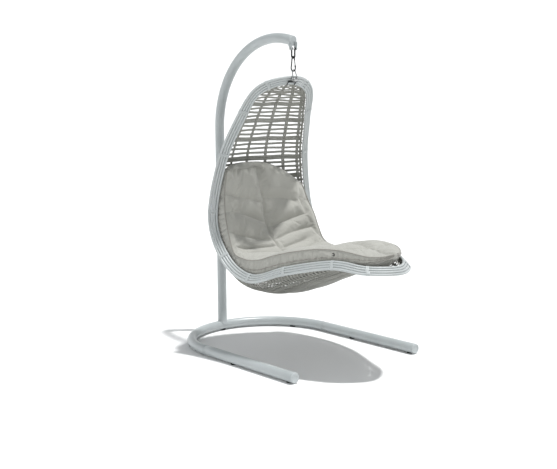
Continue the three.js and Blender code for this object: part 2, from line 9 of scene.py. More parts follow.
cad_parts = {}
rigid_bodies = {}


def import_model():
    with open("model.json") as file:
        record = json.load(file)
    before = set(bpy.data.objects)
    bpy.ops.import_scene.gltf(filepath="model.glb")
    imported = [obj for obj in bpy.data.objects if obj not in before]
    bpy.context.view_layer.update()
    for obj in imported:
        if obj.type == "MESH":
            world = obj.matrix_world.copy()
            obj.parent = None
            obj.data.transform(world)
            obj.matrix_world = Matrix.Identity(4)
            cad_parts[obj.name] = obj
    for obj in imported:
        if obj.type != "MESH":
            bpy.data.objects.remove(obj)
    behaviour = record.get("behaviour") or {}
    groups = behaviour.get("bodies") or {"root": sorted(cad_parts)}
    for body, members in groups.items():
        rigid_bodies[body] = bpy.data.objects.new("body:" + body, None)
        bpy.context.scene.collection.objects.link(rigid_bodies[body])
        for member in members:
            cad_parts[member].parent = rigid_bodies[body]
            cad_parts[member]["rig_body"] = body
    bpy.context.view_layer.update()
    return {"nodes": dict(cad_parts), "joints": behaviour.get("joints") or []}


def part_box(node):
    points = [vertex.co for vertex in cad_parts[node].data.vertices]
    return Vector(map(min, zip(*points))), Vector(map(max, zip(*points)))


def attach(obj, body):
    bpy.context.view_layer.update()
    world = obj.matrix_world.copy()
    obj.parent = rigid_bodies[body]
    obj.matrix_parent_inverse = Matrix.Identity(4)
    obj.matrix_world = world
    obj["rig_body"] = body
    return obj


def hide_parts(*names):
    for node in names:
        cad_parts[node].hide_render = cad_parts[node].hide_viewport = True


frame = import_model()

MM = 0.001
JOINTS = {j["name"]: j for j in frame["joints"]}
HANG = Vector(JOINTS["swing_fore_aft"]["pos_m"])  # the pin that the chair hangs on
BOLT = Vector(JOINTS["chair_tilt"]["pos_m"])

# ---------- the shapes that the CAD source also holds, in millimetres ----------
TUBE_R = 31.75
LUG_EYE = 0.0105
LUG_HALF_T = 0.0025
LUG_BEVEL = 0.0008
LINK_STRAIGHT = 0.017  # the height over which the link's legs run straight up from the bolt
CANE_R = 8
CANE_PITCH = 16.5
CANES = 4
PLATE_T = 4
PLATE = [38, 15, -6, 4, 28]  # half widths of bar and stem, then bar low, bar high and stem top along the row
STRAP_X = 31
STRAP_W = 8
STRAP_T = 2
STRAP_CLEAR = 1.4
RIM_SPANS = 20  # spans of the rim's curve all the way round
WALL_OFFSET = 17.4  # from the inner cane to the middle of the weave
BINDING_STATIONS = [3, 8, 13, 18, 23, 28, 33, 38, 43]
LOOP_STATIONS = 96
# Y from the hanging line, Z, half width, wall depth, wall angle, tilt of the row of canes
RIM = np.array([
    [15, 1750, 0, 0, -15, -22],
    [88, 1689, 208, 115, -4, -5],
    [191, 1499, 287, 172, 0, 15],
    [296, 1220, 356, 180, 3, 17],
    [313, 874, 417, 137, 20, 22],
    [168, 633, 428, 205, 55, 34],
    [-73, 539, 422, 152, 72, 45],
    [-353, 617, 383, 120, 80, 48],
    [-644, 677, 272, 64, 86, 46],
    [-824, 656, 172, 36, 90, 45],
    [-924, 651, 0, 0, 90, 45],
], float)


# ---------- node materials ----------
class Nodes:
    """A material's node tree, built one node at a time."""

    def __init__(self, name):
        self.material = bpy.data.materials.new(name)
        self.material.use_nodes = True
        self.tree = self.material.node_tree
        self.shader = self.tree.nodes["Principled BSDF"]

    def add(self, kind, inputs=None, **values):
        node = self.tree.nodes.new(kind)
        for key, value in values.items():
            setattr(node, key, value)
        for key, value in (inputs or {}).items():
            if isinstance(value, bpy.types.NodeSocket):
                self.tree.links.new(value, node.inputs[key])
            else:
                node.inputs[key].default_value = value
        return node

    def set(self, **values):
        for key, value in values.items():
            name = key.replace("_", " ")
            if isinstance(value, bpy.types.NodeSocket):
                self.tree.links.new(value, self.shader.inputs[name])
            else:
                self.shader.inputs[name].default_value = value

    def where(self):
        return self.add("ShaderNodeTexCoord").outputs["Object"]

    def noise(self, scale, detail=4, vector=None, roughness=0.5):
        node = self.add("ShaderNodeTexNoise", {"Scale": scale, "Detail": detail, "Roughness": roughness})
        self.tree.links.new(vector or self.where(), node.inputs["Vector"])
        return node.outputs["Fac"]

    def ramp(self, fac, *stops):
        node = self.add("ShaderNodeValToRGB", {"Fac": fac})
        elements = node.color_ramp.elements
        while len(elements) < len(stops):
            elements.new(0.5)
        for element, (place, colour) in zip(elements, stops):
            element.position = place
            element.color = (*colour, 1)
        return node.outputs["Color"]

    def level(self, fac, low, high):
        node = self.add("ShaderNodeMapRange", {"Value": fac, "To Min": low, "To Max": high})
        return node.outputs["Result"]

    def math(self, operation, a, b=0.0):
        return self.add("ShaderNodeMath", {0: a, 1: b}, operation=operation).outputs["Value"]

    def bump(self, height, strength, distance):
        node = self.add("ShaderNodeBump", {"Height": height, "Strength": strength, "Distance": distance})
        self.tree.links.new(node.outputs["Normal"], self.shader.inputs["Normal"])


def shades(colour, spread):
    return [tuple(c * k for c in colour) for k in (1 - spread, 1, 1 + spread)]


def mottled(name, colour, spread, scale, rough, bump=None, metallic=0.0):
    """A base shared by the hard materials: cloudy colour, uneven roughness and a fine bump."""
    nodes = Nodes(name)
    dark, mid, light = shades(colour, spread)
    cloud = nodes.noise(scale, 6)
    nodes.set(Base_Color=nodes.ramp(cloud, (0.25, dark), (0.5, mid), (0.75, light)))
    nodes.set(Roughness=nodes.level(nodes.noise(scale * 3, 5), *rough), Metallic=metallic)
    if bump:
        size, strength, distance = bump
        nodes.bump(nodes.noise(size, 3), strength, distance)
    return nodes


def stand_paint():
    nodes = mottled("stand_paint", (0.385, 0.415, 0.42), 0.06, 7, (0.28, 0.42), (900, 0.12, 0.0004))
    nodes.set(Coat_Weight=0.15, Coat_Roughness=0.3)
    return nodes.material


def plug_plastic():
    return mottled("plug_plastic", (0.43, 0.46, 0.465), 0.04, 20, (0.45, 0.6), (1500, 0.1, 0.0003)).material


def pad_rubber():
    return mottled("pad_rubber", (0.012, 0.012, 0.013), 0.3, 60, (0.7, 0.9), (700, 0.3, 0.0005)).material


def black_steel():
    colour = (0.009, 0.009, 0.01)
    return mottled("black_steel", colour, 0.35, 120, (0.28, 0.45), (1200, 0.15, 0.0003), 0.3).material


def bright_steel():
    colour = (0.42, 0.43, 0.43)
    return mottled("bright_steel", colour, 0.08, 90, (0.22, 0.38), (1800, 0.12, 0.0002), 1.0).material


def along_fibres(nodes, scale, squeeze):
    """Noise stretched along a piece's length, from the U that runs along it in metres."""
    uv = nodes.add("ShaderNodeTexCoord").outputs["UV"]
    mapping = nodes.add("ShaderNodeMapping", {"Vector": uv, "Scale": (scale * squeeze, scale, scale)})
    return nodes.noise(1.0, 5, mapping.outputs["Vector"])


def rim_cane():
    nodes = Nodes("rim_cane")
    dark, mid, light = shades((0.43, 0.455, 0.455), 0.13)
    grain = along_fibres(nodes, 260, 0.03)
    nodes.set(Base_Color=nodes.ramp(grain, (0.3, dark), (0.5, mid), (0.72, light)))
    nodes.set(Roughness=nodes.level(nodes.noise(60, 4), 0.34, 0.5), Coat_Weight=0.12, Coat_Roughness=0.25)
    nodes.bump(grain, 0.25, 0.0006)
    return nodes.material


def wicker():
    nodes = Nodes("wicker")
    dark, mid, light = shades((0.27, 0.27, 0.245), 0.18)
    grain = along_fibres(nodes, 420, 0.04)
    cloud = nodes.noise(14, 4)
    mixed = nodes.math("ADD", nodes.math("MULTIPLY", grain, 0.6), nodes.math("MULTIPLY", cloud, 0.4))
    nodes.set(Base_Color=nodes.ramp(mixed, (0.3, dark), (0.5, mid), (0.7, light)))
    nodes.set(Roughness=nodes.level(grain, 0.42, 0.62))
    nodes.bump(grain, 0.4, 0.0006)
    return nodes.material


def cushion_fabric():
    """Outdoor polyester: warp and weft crossing at 1.4 mm, slubs, a mottle and a soft sheen."""
    nodes = Nodes("cushion_fabric")
    uv = nodes.add("ShaderNodeTexCoord").outputs["UV"]
    thread = 700.0
    threads = []
    for angle in (0, math.pi / 2):
        turned = nodes.add("ShaderNodeMapping", {"Vector": uv, "Rotation": (0, 0, angle)})
        wave = nodes.add(
            "ShaderNodeTexWave",
            {"Vector": turned.outputs["Vector"], "Scale": thread / 6.2832, "Distortion": 0.6, "Detail": 1.0},
        )
        threads.append(wave.outputs["Fac"])
    cloth = nodes.math("MAXIMUM", *threads)
    stretched = nodes.add("ShaderNodeMapping", {"Vector": uv, "Scale": (25, 300, 1)})
    slub = nodes.noise(1.0, 3, stretched.outputs[0])
    cloud = nodes.noise(9, 5)
    tone = nodes.math("ADD", nodes.math("MULTIPLY", cloth, 0.35), nodes.math("MULTIPLY", slub, 0.35))
    tone = nodes.math("ADD", tone, nodes.math("MULTIPLY", cloud, 0.3))
    dark, mid, light = shades((0.37, 0.366, 0.335), 0.10)
    nodes.set(Base_Color=nodes.ramp(tone, (0.3, dark), (0.52, mid), (0.75, light)))
    nodes.set(Roughness=0.9, Sheen_Weight=0.25, Sheen_Roughness=0.5)
    nodes.bump(cloth, 0.5, 0.0005)
    return nodes.material


def piping_fabric():
    nodes = Nodes("piping_fabric")
    dark, mid, light = shades((0.27, 0.26, 0.235), 0.15)
    weave = nodes.noise(600, 3)
    nodes.set(Base_Color=nodes.ramp(weave, (0.3, dark), (0.5, mid), (0.7, light)))
    nodes.set(Roughness=0.92, Sheen_Weight=0.2)
    nodes.bump(weave, 0.5, 0.0005)
    return nodes.material


MATERIALS = {
    make.__name__: make()
    for make in (stand_paint, plug_plastic, pad_rubber, black_steel, bright_steel, rim_cane, wicker)
}
MATERIALS["cushion_fabric"] = cushion_fabric()
MATERIALS["piping_fabric"] = piping_fabric()


# ---------- mesh building ----------
def unit(a):
    return a / np.maximum(np.linalg.norm(a, axis=-1, keepdims=True), 1e-12)


class Build:
    """Collects grids of points into one mesh, with UVs in metres."""

    def __init__(self):
        self.verts = []
        self.faces = []
        self.uvs = []
        self.count = 0

    def grid(self, points, uv=None, wrap_rows=False, wrap_cols=False):
        """points is rows x columns x 3. Wrapping joins the last row or column to the first."""
        rows, cols = points.shape[:2]
        self.verts.append(points.reshape(-1, 3))
        index = np.arange(rows * cols).reshape(rows, cols) + self.count
        i = np.arange(rows if wrap_rows else rows - 1)
        j = np.arange(cols if wrap_cols else cols - 1)
        i, j = np.meshgrid(i, j, indexing="ij")
        i2, j2 = (i + 1) % rows, (j + 1) % cols
        quads = np.stack([index[i, j], index[i, j2], index[i2, j2], index[i2, j]], -1).reshape(-1, 4)
        self.faces.append(quads)
        if uv is None:
            uv = np.zeros((rows, cols, 2))
        along, across = uv[..., 0], uv[..., 1]
        corner = lambda a, b: np.stack([along[a, 0], across[0, b]], -1)
        # a wrapped edge keeps running on, so that no face's UVs turn back
        step_a = along[-1, 0] - along[-2, 0] if rows > 1 else 0
        step_b = across[0, -1] - across[0, -2] if cols > 1 else 0
        last_a = np.where(i2 < i, along[-1, 0] + step_a, along[i2, 0])
        last_b = np.where(j2 < j, across[0, -1] + step_b, across[0, j2])
        first = corner(i, j)
        quad_uv = np.stack([
            first,
            np.stack([first[..., 0], last_b], -1),
            np.stack([last_a, last_b], -1),
            np.stack([last_a, first[..., 1]], -1),
        ], -2)
        self.uvs.append(quad_uv.reshape(-1, 4, 2))
        self.count += rows * cols
        return index

    def cap(self, ring, centre):
        """Closes a ring of point numbers with triangles to a new centre point."""
        self.verts.append(np.array([centre], float))
        hub = self.count
        self.count += 1
        tris = [[ring[k], ring[(k + 1) % len(ring)], hub, hub] for k in range(len(ring))]
        self.faces.append(np.array(tris))
        self.uvs.append(np.zeros((len(ring), 4, 2)))

    def make(self, name, material, body, slot=None, replaces=(), smooth=True):
        verts = np.concatenate(self.verts)
        faces = np.concatenate(self.faces)
        uvs = np.concatenate(self.uvs)
        mesh = bpy.data.meshes.new(name)
        triangles = faces[:, 2] == faces[:, 3]
        face_list = [f[:3].tolist() if t else f.tolist() for f, t in zip(faces, triangles)]
        mesh.from_pydata(verts.tolist(), [], face_list)
        layer = mesh.uv_layers.new(name="UVMap")
        flat = np.concatenate([u[:3] if t else u for u, t in zip(uvs, triangles)])
        layer.data.foreach_set("uv", flat.astype(np.float32).ravel())
        obj = bpy.data.objects.new(name, mesh)
        bpy.context.scene.collection.objects.link(obj)
        facing = bmesh.new()
        facing.from_mesh(mesh)
        bmesh.ops.recalc_face_normals(facing, faces=facing.faces)
        facing.to_mesh(mesh)
        facing.free()
        mesh.polygons.foreach_set("use_smooth", [smooth] * len(mesh.polygons))
        mesh.materials.append(MATERIALS[material])
        return dress(obj, body, replaces)


def dress(obj, body, replaces=()):
    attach(obj, body)
    if replaces:
        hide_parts(*replaces)
    return obj


def circle(radius, sides):
    a = np.arange(sides) * 2 * math.pi / sides
    return np.stack([radius * np.cos(a), radius * np.sin(a)], -1)


def flat_oval(half_width, half_height, sides, power=0.7):
    """A rounded strip's section: a superellipse."""
    a = np.arange(sides) * 2 * math.pi / sides
    c, s = np.cos(a), np.sin(a)
    u = half_width * np.sign(c) * np.abs(c) ** power
    v = half_height * np.sign(s) * np.abs(s) ** power
    return np.stack([u, v], -1)


def tangents(path, closed):
    if closed:
        return unit(np.roll(path, -1, 0) - np.roll(path, 1, 0))
    return unit(np.gradient(path, axis=0))


def lengths(path):
    return np.concatenate([[0], np.cumsum(np.linalg.norm(np.diff(path, axis=0), axis=1))])


def carried(path, closed):
    """Two directions across a path, carried along it without twisting."""
    tangent = tangents(path, closed)
    start = np.array([0.0, 0, 1]) if abs(tangent[0][2]) < 0.9 else np.array([0.0, 1, 0])
    side = [unit(np.cross(tangent[0], start))]
    for k in range(1, len(path)):
        side.append(unit(side[-1] - tangent[k] * side[-1].dot(tangent[k])))
    side = np.array(side)
    return side, np.cross(tangent, side)


def sweep(build, path, section, closed=False, across=None, round_ends=0):
    """Sweeps a section along a path. across is a pair of directions at each point."""
    path = np.asarray(path, float)
    side, up = across if across else carried(path, closed)
    section = np.asarray(section, float)
    if section.ndim == 2:
        section = np.broadcast_to(section, (len(path), *section.shape))
    if round_ends:
        path, side, up, section = rounded_ends(path, side, up, section, round_ends)
    points = path[:, None] + side[:, None] * section[..., :1] + up[:, None] * section[..., 1:]
    girth = np.linalg.norm(np.diff(section[len(section) // 2], axis=0), axis=1)
    around = np.concatenate([[0], np.cumsum(girth)])
    uv = np.stack(np.meshgrid(lengths(path), around, indexing="ij"), -1)
    index = build.grid(points, uv, wrap_rows=closed, wrap_cols=True)
    if not closed:
        build.cap(index[0][::-1], path[0])
        build.cap(index[-1], path[-1])
    return index


def rounded_ends(path, side, up, section, radius):
    """Adds shrinking rings beyond both ends, so that an end is rounded and not a sharp cut."""
    steps = [(math.sin(a), math.cos(a)) for a in np.radians([80, 60, 40, 20])]
    tangent = tangents(path, False)
    first = [path[0] - tangent[0] * radius * s for s, c in steps]
    last = [path[-1] + tangent[-1] * radius * s for s, c in steps[::-1]]
    reach = np.abs(section).max()
    scale = [1 - radius / reach * (1 - c) for s, c in steps]
    path = np.concatenate([first, path, last])
    side = np.concatenate([[side[0]] * 4, side, [side[-1]] * 4])
    up = np.concatenate([[up[0]] * 4, up, [up[-1]] * 4])
    head = [section[0] * k for k in scale]
    tail = [section[-1] * k for k in scale[::-1]]
    return path, side, up, np.concatenate([head, section, tail])


def lathe(build, outline, centre, axis, sides=48):
    """Turns an outline of (radius, distance along the axis) round the axis, from end to end on it."""
    axis = unit(np.array(axis, float))
    helper = np.array([0.0, 0, 1]) if abs(axis[2]) < 0.9 else np.array([1.0, 0, 0])
    side = unit(np.cross(axis, helper))
    up = np.cross(axis, side)
    a = np.arange(sides) * 2 * math.pi / sides
    ring = np.cos(a)[:, None] * side + np.sin(a)[:, None] * up
    outline = np.asarray(outline, float)
    body = outline[1:-1]
    points = np.array(centre) + axis * body[:, None, 1:] + ring[None] * body[:, None, :1]
    along = lengths(body)
    uv = np.stack(np.meshgrid(along, a * outline[:, 0].max(), indexing="ij"), -1)
    index = build.grid(points, uv, wrap_cols=True)
    build.cap(index[0][::-1], np.array(centre) + axis * outline[0][1])
    build.cap(index[-1], np.array(centre) + axis * outline[-1][1])


def soften(outline, radius, steps=4):
    """Rounds the corners of an outline, all but its first and last points."""
    outline = [np.array(p, float) for p in outline]
    rounded = [outline[0]]
    for before, corner, after in zip(outline, outline[1:], outline[2:]):
        to_before, to_after = before - corner, after - corner
        cut = min(radius, np.linalg.norm(to_before) * 0.45, np.linalg.norm(to_after) * 0.45)
        a = corner + to_before / np.linalg.norm(to_before) * cut
        b = corner + to_after / np.linalg.norm(to_after) * cut
        for k in range(steps + 1):
            t = k / steps
            rounded.append((1 - t) ** 2 * a + 2 * t * (1 - t) * corner + t**2 * b)
    rounded.append(outline[-1])
    return rounded


# ---------- curves of the rim and the shell ----------
def control(columns, mirror_first):
    """A closed loop of control points: down one side, round the foot and back up the other."""
    down = RIM[:, columns].copy()
    back = down[-2:0:-1].copy()
    if mirror_first:
        down[:, 0] *= -1
    return np.concatenate([down, back])


RIM_POINTS = control([2, 0, 1], True)
WALL_POINTS = control([3, 4, 5], False)


def spline(points, t):
    """A closed uniform Catmull-Rom spline; t runs from 0 to 1 round it."""
    count = len(points)
    x = (np.asarray(t, float) % 1) * count
    first = np.floor(x).astype(int)
    w = (x - first)[..., None]
    a, b, c, d = [points[(first + k) % count] for k in (-1, 0, 1, 2)]
    start, end = (c - a) / 2, (d - b) / 2
    return b + start * w + (3 * (c - b) - 2 * start - end) * w**2 + (2 * (b - c) + start + end) * w**3


class RimFrame:
    """Places and directions on the rim at t, in millimetres from the hanging line."""

    def __init__(self, t):
        step = 1e-4
        self.place = spline(RIM_POINTS, t)
        self.tangent = unit(spline(RIM_POINTS, t + step) - spline(RIM_POINTS, t - step))
        depth, angle, tilt = np.moveaxis(spline(WALL_POINTS, t), -1, 0)
        angle, tilt = np.radians(angle), np.radians(tilt)[..., None]
        self.depth = depth
        self.wall = np.stack([0 * angle, np.cos(angle), -np.sin(angle)], -1)
        self.out = unit(np.cross(self.wall, self.tangent))
        back = unit(np.cross(self.tangent, self.out))
        self.row = self.out * np.cos(tilt) + back * np.sin(tilt)
        self.face = unit(np.cross(self.row, self.tangent))


def to_frame(points):
    """Millimetres from the hanging line to metres in the row frame."""
    return np.asarray(points) * MM + np.array([0, HANG.y, 0])


def shell_point(t, side):
    f = RimFrame(t)
    edge = f.place + f.row * (-1.5 * CANE_PITCH) + f.wall * WALL_OFFSET + f.out * (5 - CANE_R)
    half = np.abs(edge[..., 0])
    a = side * math.pi / 2
    mid = np.stack([0 * half, edge[..., 1], edge[..., 2]], -1) + f.wall * (f.depth * np.cos(a))[..., None]
    mid[..., 0] += half * np.sin(a)
    return mid


def shell_axes(t, side):
    """Point, direction along the shell, direction across it and the normal, which points out of it."""
    step = 1e-3
    along = unit(shell_point(t + step, side) - shell_point(t - step, side))
    across = unit(shell_point(t, side + step) - shell_point(t, side - step))
    normal = unit(np.cross(across, along))
    return shell_point(t, side), along, across, normal


# ---------- stand ----------
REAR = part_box("base_rear_bend")
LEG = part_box("left_base_leg")
TUBE = TUBE_R * MM
TUBE_Z = REAR[0].z + TUBE
BEND_R = REAR[1].x - TUBE
BEND_Y = REAR[0].y
POST_Y = REAR[1].y - TUBE
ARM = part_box("arch_arm")
ARCH_REACH = 0.607
ARCH_RISE = 0.590
ARCH_START_Z = ARM[0].z
ARCH_OVERRUN = math.radians(16)


def pipe(build, path, radius, wall=0.002, sides=48, lip=0.0008):
    """A tube with a wall, with softened lips at its two ends."""
    side, up = carried(path, False)
    ring = circle(1, sides)
    rings = []
    tangent = tangents(path, False)
    place = lambda k, r, shift: path[k] + tangent[k] * shift + (
        side[k] * ring[:, :1] + up[k] * ring[:, 1:]
    ) * r
    rings.append(place(0, radius - wall, 0.03))
    rings.append(place(0, radius - wall, lip))
    rings.append(place(0, radius - wall + lip, 0))
    rings.append(place(0, radius - lip, 0))
    rings.append(place(0, radius, lip))
    for k in range(1, len(path) - 1):
        rings.append(place(k, radius, 0))
    rings.append(place(-1, radius, -lip))
    rings.append(place(-1, radius - lip, 0))
    rings.append(place(-1, radius - wall + lip, 0))
    rings.append(place(-1, radius - wall, -lip))
    rings.append(place(-1, radius - wall, -0.03))
    points = np.array(rings)
    uv = np.stack(np.meshgrid(np.arange(len(rings)) * 0.01, np.arange(sides) * 0.004, indexing="ij"), -1)
    index = build.grid(points, uv, wrap_cols=True)
    build.cap(index[0][::-1], points[0].mean(0))
    build.cap(index[-1], points[-1].mean(0))


def make_base():
    a = np.linspace(0, math.pi, 120)
    bend = np.stack([-BEND_R * np.cos(a), BEND_Y + BEND_R * np.sin(a), 0 * a + TUBE_Z], -1)
    build = Build()
    pipe(build, bend, TUBE)
    build.make("base_bend_tube", "stand_paint", "stand", replaces=["base_rear_bend"])
    for side, sign in (("left", -1), ("right", 1)):
        y = np.linspace(LEG[0].y, LEG[1].y, 12)
        leg = np.stack([0 * y + sign * BEND_R, y, 0 * y + TUBE_Z], -1)
        build = Build()
        pipe(build, leg, TUBE)
        build.make(f"{side}_leg_tube", "stand_paint", "stand", replaces=[f"{side}_base_leg"])
        make_plug(side, sign)


def make_plug(side, sign):
    """A pressed-in plug: a domed rim with a shallow dished middle, and the spigot behind it."""
    outline = [
        (0, -2.6), (17, -2.8), (20, -3.4), (22.5, -5.2), (27, -5.8), (31, -4), (31.7, -1.6), (31.6, -0.4),
        (28.6, -0.4), (28.4, 17), (0, 17),
    ]
    build = Build()
    outline = np.array(soften(outline, 1.2)) * MM
    lathe(build, outline, (sign * BEND_R, LEG[0].y, TUBE_Z), (0, 1, 0), 64)
    build.make(f"{side}_end_plug", "plug_plastic", "stand", replaces=[f"{side}_leg_plug"])


def make_pads():
    """Rubber pucks whose tops are hollowed to the tube above them."""
    for name in [n for n in frame["nodes"] if n.endswith("_pad")]:
        low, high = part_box(name)
        x, y = (low.x + high.x) / 2, (low.y + high.y) / 2
        radii = np.array([0.3, 0.6, 0.85, 1.0]) * 0.019
        a = np.arange(40) * 2 * math.pi / 40

        def saddle(px, py):
            on_bend = py > BEND_Y
            away = np.where(on_bend, np.abs(np.hypot(px, py - BEND_Y) - BEND_R), np.abs(np.abs(px) - BEND_R))
            return np.minimum(TUBE_Z - np.sqrt(TUBE**2 - away**2) - 0.0003, 0.0105)

        rings = []
        for r in radii:
            px, py = x + r * np.cos(a), y + r * np.sin(a)
            rings.append(np.stack([px, py, saddle(px, py)], -1))
        for r, z in ((0.0199, 0.0068), (0.0207, 0.002), (0.0203, 0.0006), (0.0196, 0)):
            rings.append(np.stack([x + r * np.cos(a), y + r * np.sin(a), 0 * a + z], -1))
        build = Build()
        index = build.grid(np.array(rings), wrap_cols=True)
        build.cap(index[0][::-1], (x, y, float(saddle(np.array(x), np.array(y)))))
        build.cap(index[-1], (x, y, 0))
        build.make(f"rubber_{name}", "pad_rubber", "stand", replaces=[name])


def arch_path(count, a0=0.0, a1=math.pi / 2 + ARCH_OVERRUN):
    a = np.linspace(a0, a1, count)
    y = POST_Y - ARCH_REACH * (1 - np.cos(a))
    return np.stack([0 * a, y, ARCH_START_Z + ARCH_RISE * np.sin(a)], -1)


def make_mast():
    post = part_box("post")
    # The foot is mitred to the bend's tube: each line of the post ends on the tube under it.
    sides = 64
    a = np.arange(sides) * 2 * math.pi / sides
    px, py = TUBE * np.cos(a), POST_Y + TUBE * np.sin(a)
    away = np.abs(np.hypot(px, py - BEND_Y) - BEND_R)
    foot = TUBE_Z + np.sqrt(np.maximum((TUBE + 0.0003) ** 2 - away**2, 0))
    rings = []
    bead = [(0.0050, 0.0), (0.0042, 0.0022), (0.0026, 0.0042), (0.0010, 0.0056), (0.0, 0.0072)]
    for grow, lift in bead:
        scale = (TUBE + grow) / TUBE
        rings.append(np.stack([px * scale, POST_Y + (py - POST_Y) * scale, foot + lift - grow * 0.25], -1))
    for z in np.linspace(0.16, post[1].z - 0.0008, 10):
        rings.append(np.stack([px, py, 0 * a + z], -1))
    for grow, z in ((0.0, post[1].z + 0.0002), (-0.002, post[1].z), (-0.002, post[1].z - 0.03)):
        scale = (TUBE + grow) / TUBE
        rings.append(np.stack([px * scale, POST_Y + (py - POST_Y) * scale, 0 * a + z], -1))
    build = Build()
    index = build.grid(np.array(rings), wrap_cols=True)
    build.cap(index[0][::-1], (0, POST_Y, float(foot.mean())))
    build.cap(index[-1], (0, POST_Y, post[1].z - 0.03))
    build.make("post_tube", "stand_paint", "stand", replaces=["post"])
    build = Build()
    pipe(build, arch_path(110), TUBE, lip=0.0001)
    build.make("arch_tube", "stand_paint", "stand", replaces=["arch_arm"])


def make_arm_end():
    """The cap on the arm's end and the two lugs that hang from it."""
    path = arch_path(110)
    along = unit(path[-1] - path[-2])
    outline = [(0, 6.6), (24, 6.4), (30.5, 5.2), (32.8, 2.6), (32.8, 0.4), (0, 0.4)]
    build = Build()
    lathe(build, np.array(soften(outline, 1.6)) * MM, path[-1], along, 64)
    build.make("arm_cap", "plug_plastic", "stand", replaces=["arm_end_cap"])
    for side in ("left", "right"):
        low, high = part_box(f"{side}_lug")
        make_lug(side, (low.x + high.x) / 2)


def make_lug(side, x):
    """A drop-shaped cheek: wide where it meets the arm, narrow round the pin."""
    y0, z0 = HANG.y, HANG.z
    turns = np.radians(np.arange(190, 351, 8))
    eye = [(y0 + LUG_EYE * math.cos(a), z0 + LUG_EYE * math.sin(a)) for a in turns]
    top = [(y0 + 0.016, z0 + 0.014), (y0 + 0.026, z0 + 0.030), (y0 + 0.034, z0 + 0.042)]
    crown = [(y0 + 0.010, z0 + 0.046), (y0 - 0.014, z0 + 0.042), (y0 - 0.0135, z0 + 0.022)]
    outline = np.array([*eye, *top, *crown])
    build = Build()
    lower, upper = LUG_HALF_T, -LUG_HALF_T
    centre = outline.mean(0)
    inward = outline + unit(centre - outline) * LUG_BEVEL
    rings = [(inward, lower), (outline, lower - LUG_BEVEL), (outline, upper + LUG_BEVEL), (inward, upper)]
    points = np.array([np.column_stack([np.full(len(r), x + dx), r]) for r, dx in rings])
    index = build.grid(points, wrap_cols=True)
    build.cap(index[0][::-1], (x + lower, *centre))
    build.cap(index[-1], (x + upper, *centre))
    build.make(f"{side}_pin_lug", "stand_paint", "stand", replaces=[f"{side}_lug"])


# ---------- hanging hardware ----------
def arc(cy, cz, r, start, end, count):
    a = np.radians(np.linspace(start, end, count))
    return np.stack([cy + r * np.cos(a), cz + r * np.sin(a)], -1)


def dense(path, spacing):
    """The same path with points at even spacing."""
    path = np.asarray(path, float)
    along = lengths(path)
    count = max(4, int(along[-1] / spacing))
    at = np.linspace(0, along[-1], count)
    return np.stack([np.interp(at, along, path[:, k]) for k in range(3)], -1)


def fused(build, name, material, body, voxel, replaces, smooth_steps=3):
    """Overlapping closed shapes made into one forged-looking body by a voxel remesh."""
    obj = build.make(name, material, body, replaces=replaces)
    remesh = obj.modifiers.new("fuse", "REMESH")
    remesh.mode = "VOXEL"
    remesh.voxel_size = voxel
    remesh.use_smooth_shade = True
    smooth = obj.modifiers.new("soften", "SMOOTH")
    smooth.factor = 0.5
    smooth.iterations = smooth_steps
    depsgraph = bpy.context.evaluated_depsgraph_get()
    mesh = bpy.data.meshes.new_from_object(obj.evaluated_get(depsgraph))
    obj.modifiers.clear()
    obj.data = mesh
    mesh.name = name
    mesh.polygons.foreach_set("use_smooth", [True] * len(mesh.polygons))
    if not mesh.materials:
        mesh.materials.append(MATERIALS[material])
    return obj


def ring_round_x(build, x, y, z, outer, inner, width):
    """An eye: a short ring about an axis along X, with rounded faces."""
    r = (outer + inner) / 2
    a = np.arange(40) * 2 * math.pi / 40
    path = np.stack([0 * a + x, y + r * np.cos(a), z + r * np.sin(a)], -1)
    out = np.stack([0 * a, np.cos(a), np.sin(a)], -1)
    along_x = np.tile([1.0, 0, 0], (40, 1))
    sweep(build, path, flat_oval(width / 2, (outer - inner) / 2, 12), closed=True, across=(along_x, out))


def hex_bolt(name, x0, x1, y, z, radius, head, nut_name):
    """A hexagon bolt along X, its nut and, cut in the shank's end, the thread's turns."""
    build = Build()
    turns = np.linspace(x1 - 0.014, x1, 40)
    crown = x0 - head * 0.6
    flats = [(head * 0.82, crown), (head, crown + head * 0.08), (head, x0 - 0.0004)]
    index = build.grid(hex_rings(flats, y, z), wrap_cols=True)
    build.cap(index[0][::-1], (crown, y, z))
    build.cap(index[-1], (x0, y, z))
    outline = [(0, x0 - 0.001), (radius, x0 - 0.001), (radius, x1 - 0.0145)]
    outline += [(radius - 0.0003 * (k % 2), float(t)) for k, t in enumerate(turns)]
    outline += [(radius * 0.8, x1 + 0.0004), (0, x1 + 0.0004)]
    lathe(build, outline, (0, y, z), (1, 0, 0), 32)
    build.make(f"{name}_bolt", "bright_steel", frame_body(name), replaces=[name])
    build = Build()
    inner, far, near = radius + 0.0002, x1 - 0.002, x1 - head * 0.9
    rings = [(inner, far), (head * 0.8, far), (head, far - 0.0006)]
    rings += [(head, near + 0.0004), (inner, near + 0.0002)]
    index = build.grid(hex_rings(rings, y, z, inner), wrap_rows=True, wrap_cols=True)
    build.make(f"{nut_name}_hex", "bright_steel", frame_body(name), replaces=[nut_name])


def hex_rings(outline, y, z, inner=None):
    """Rings of a hexagonal outline; a ring at the bore's radius is round."""
    a = np.arange(48) * 2 * math.pi / 48
    corner = np.cos(math.pi / 6) / np.cos((a % (math.pi / 3)) - math.pi / 6)
    rings = []
    for r, x in outline:
        radius = np.full(48, r) if inner is not None and r == inner else r * corner
        rings.append(np.stack([0 * a + x, y + radius * np.cos(a), z + radius * np.sin(a)], -1))
    return np.array(rings)


def frame_body(node):
    return frame["nodes"][node]["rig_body"]


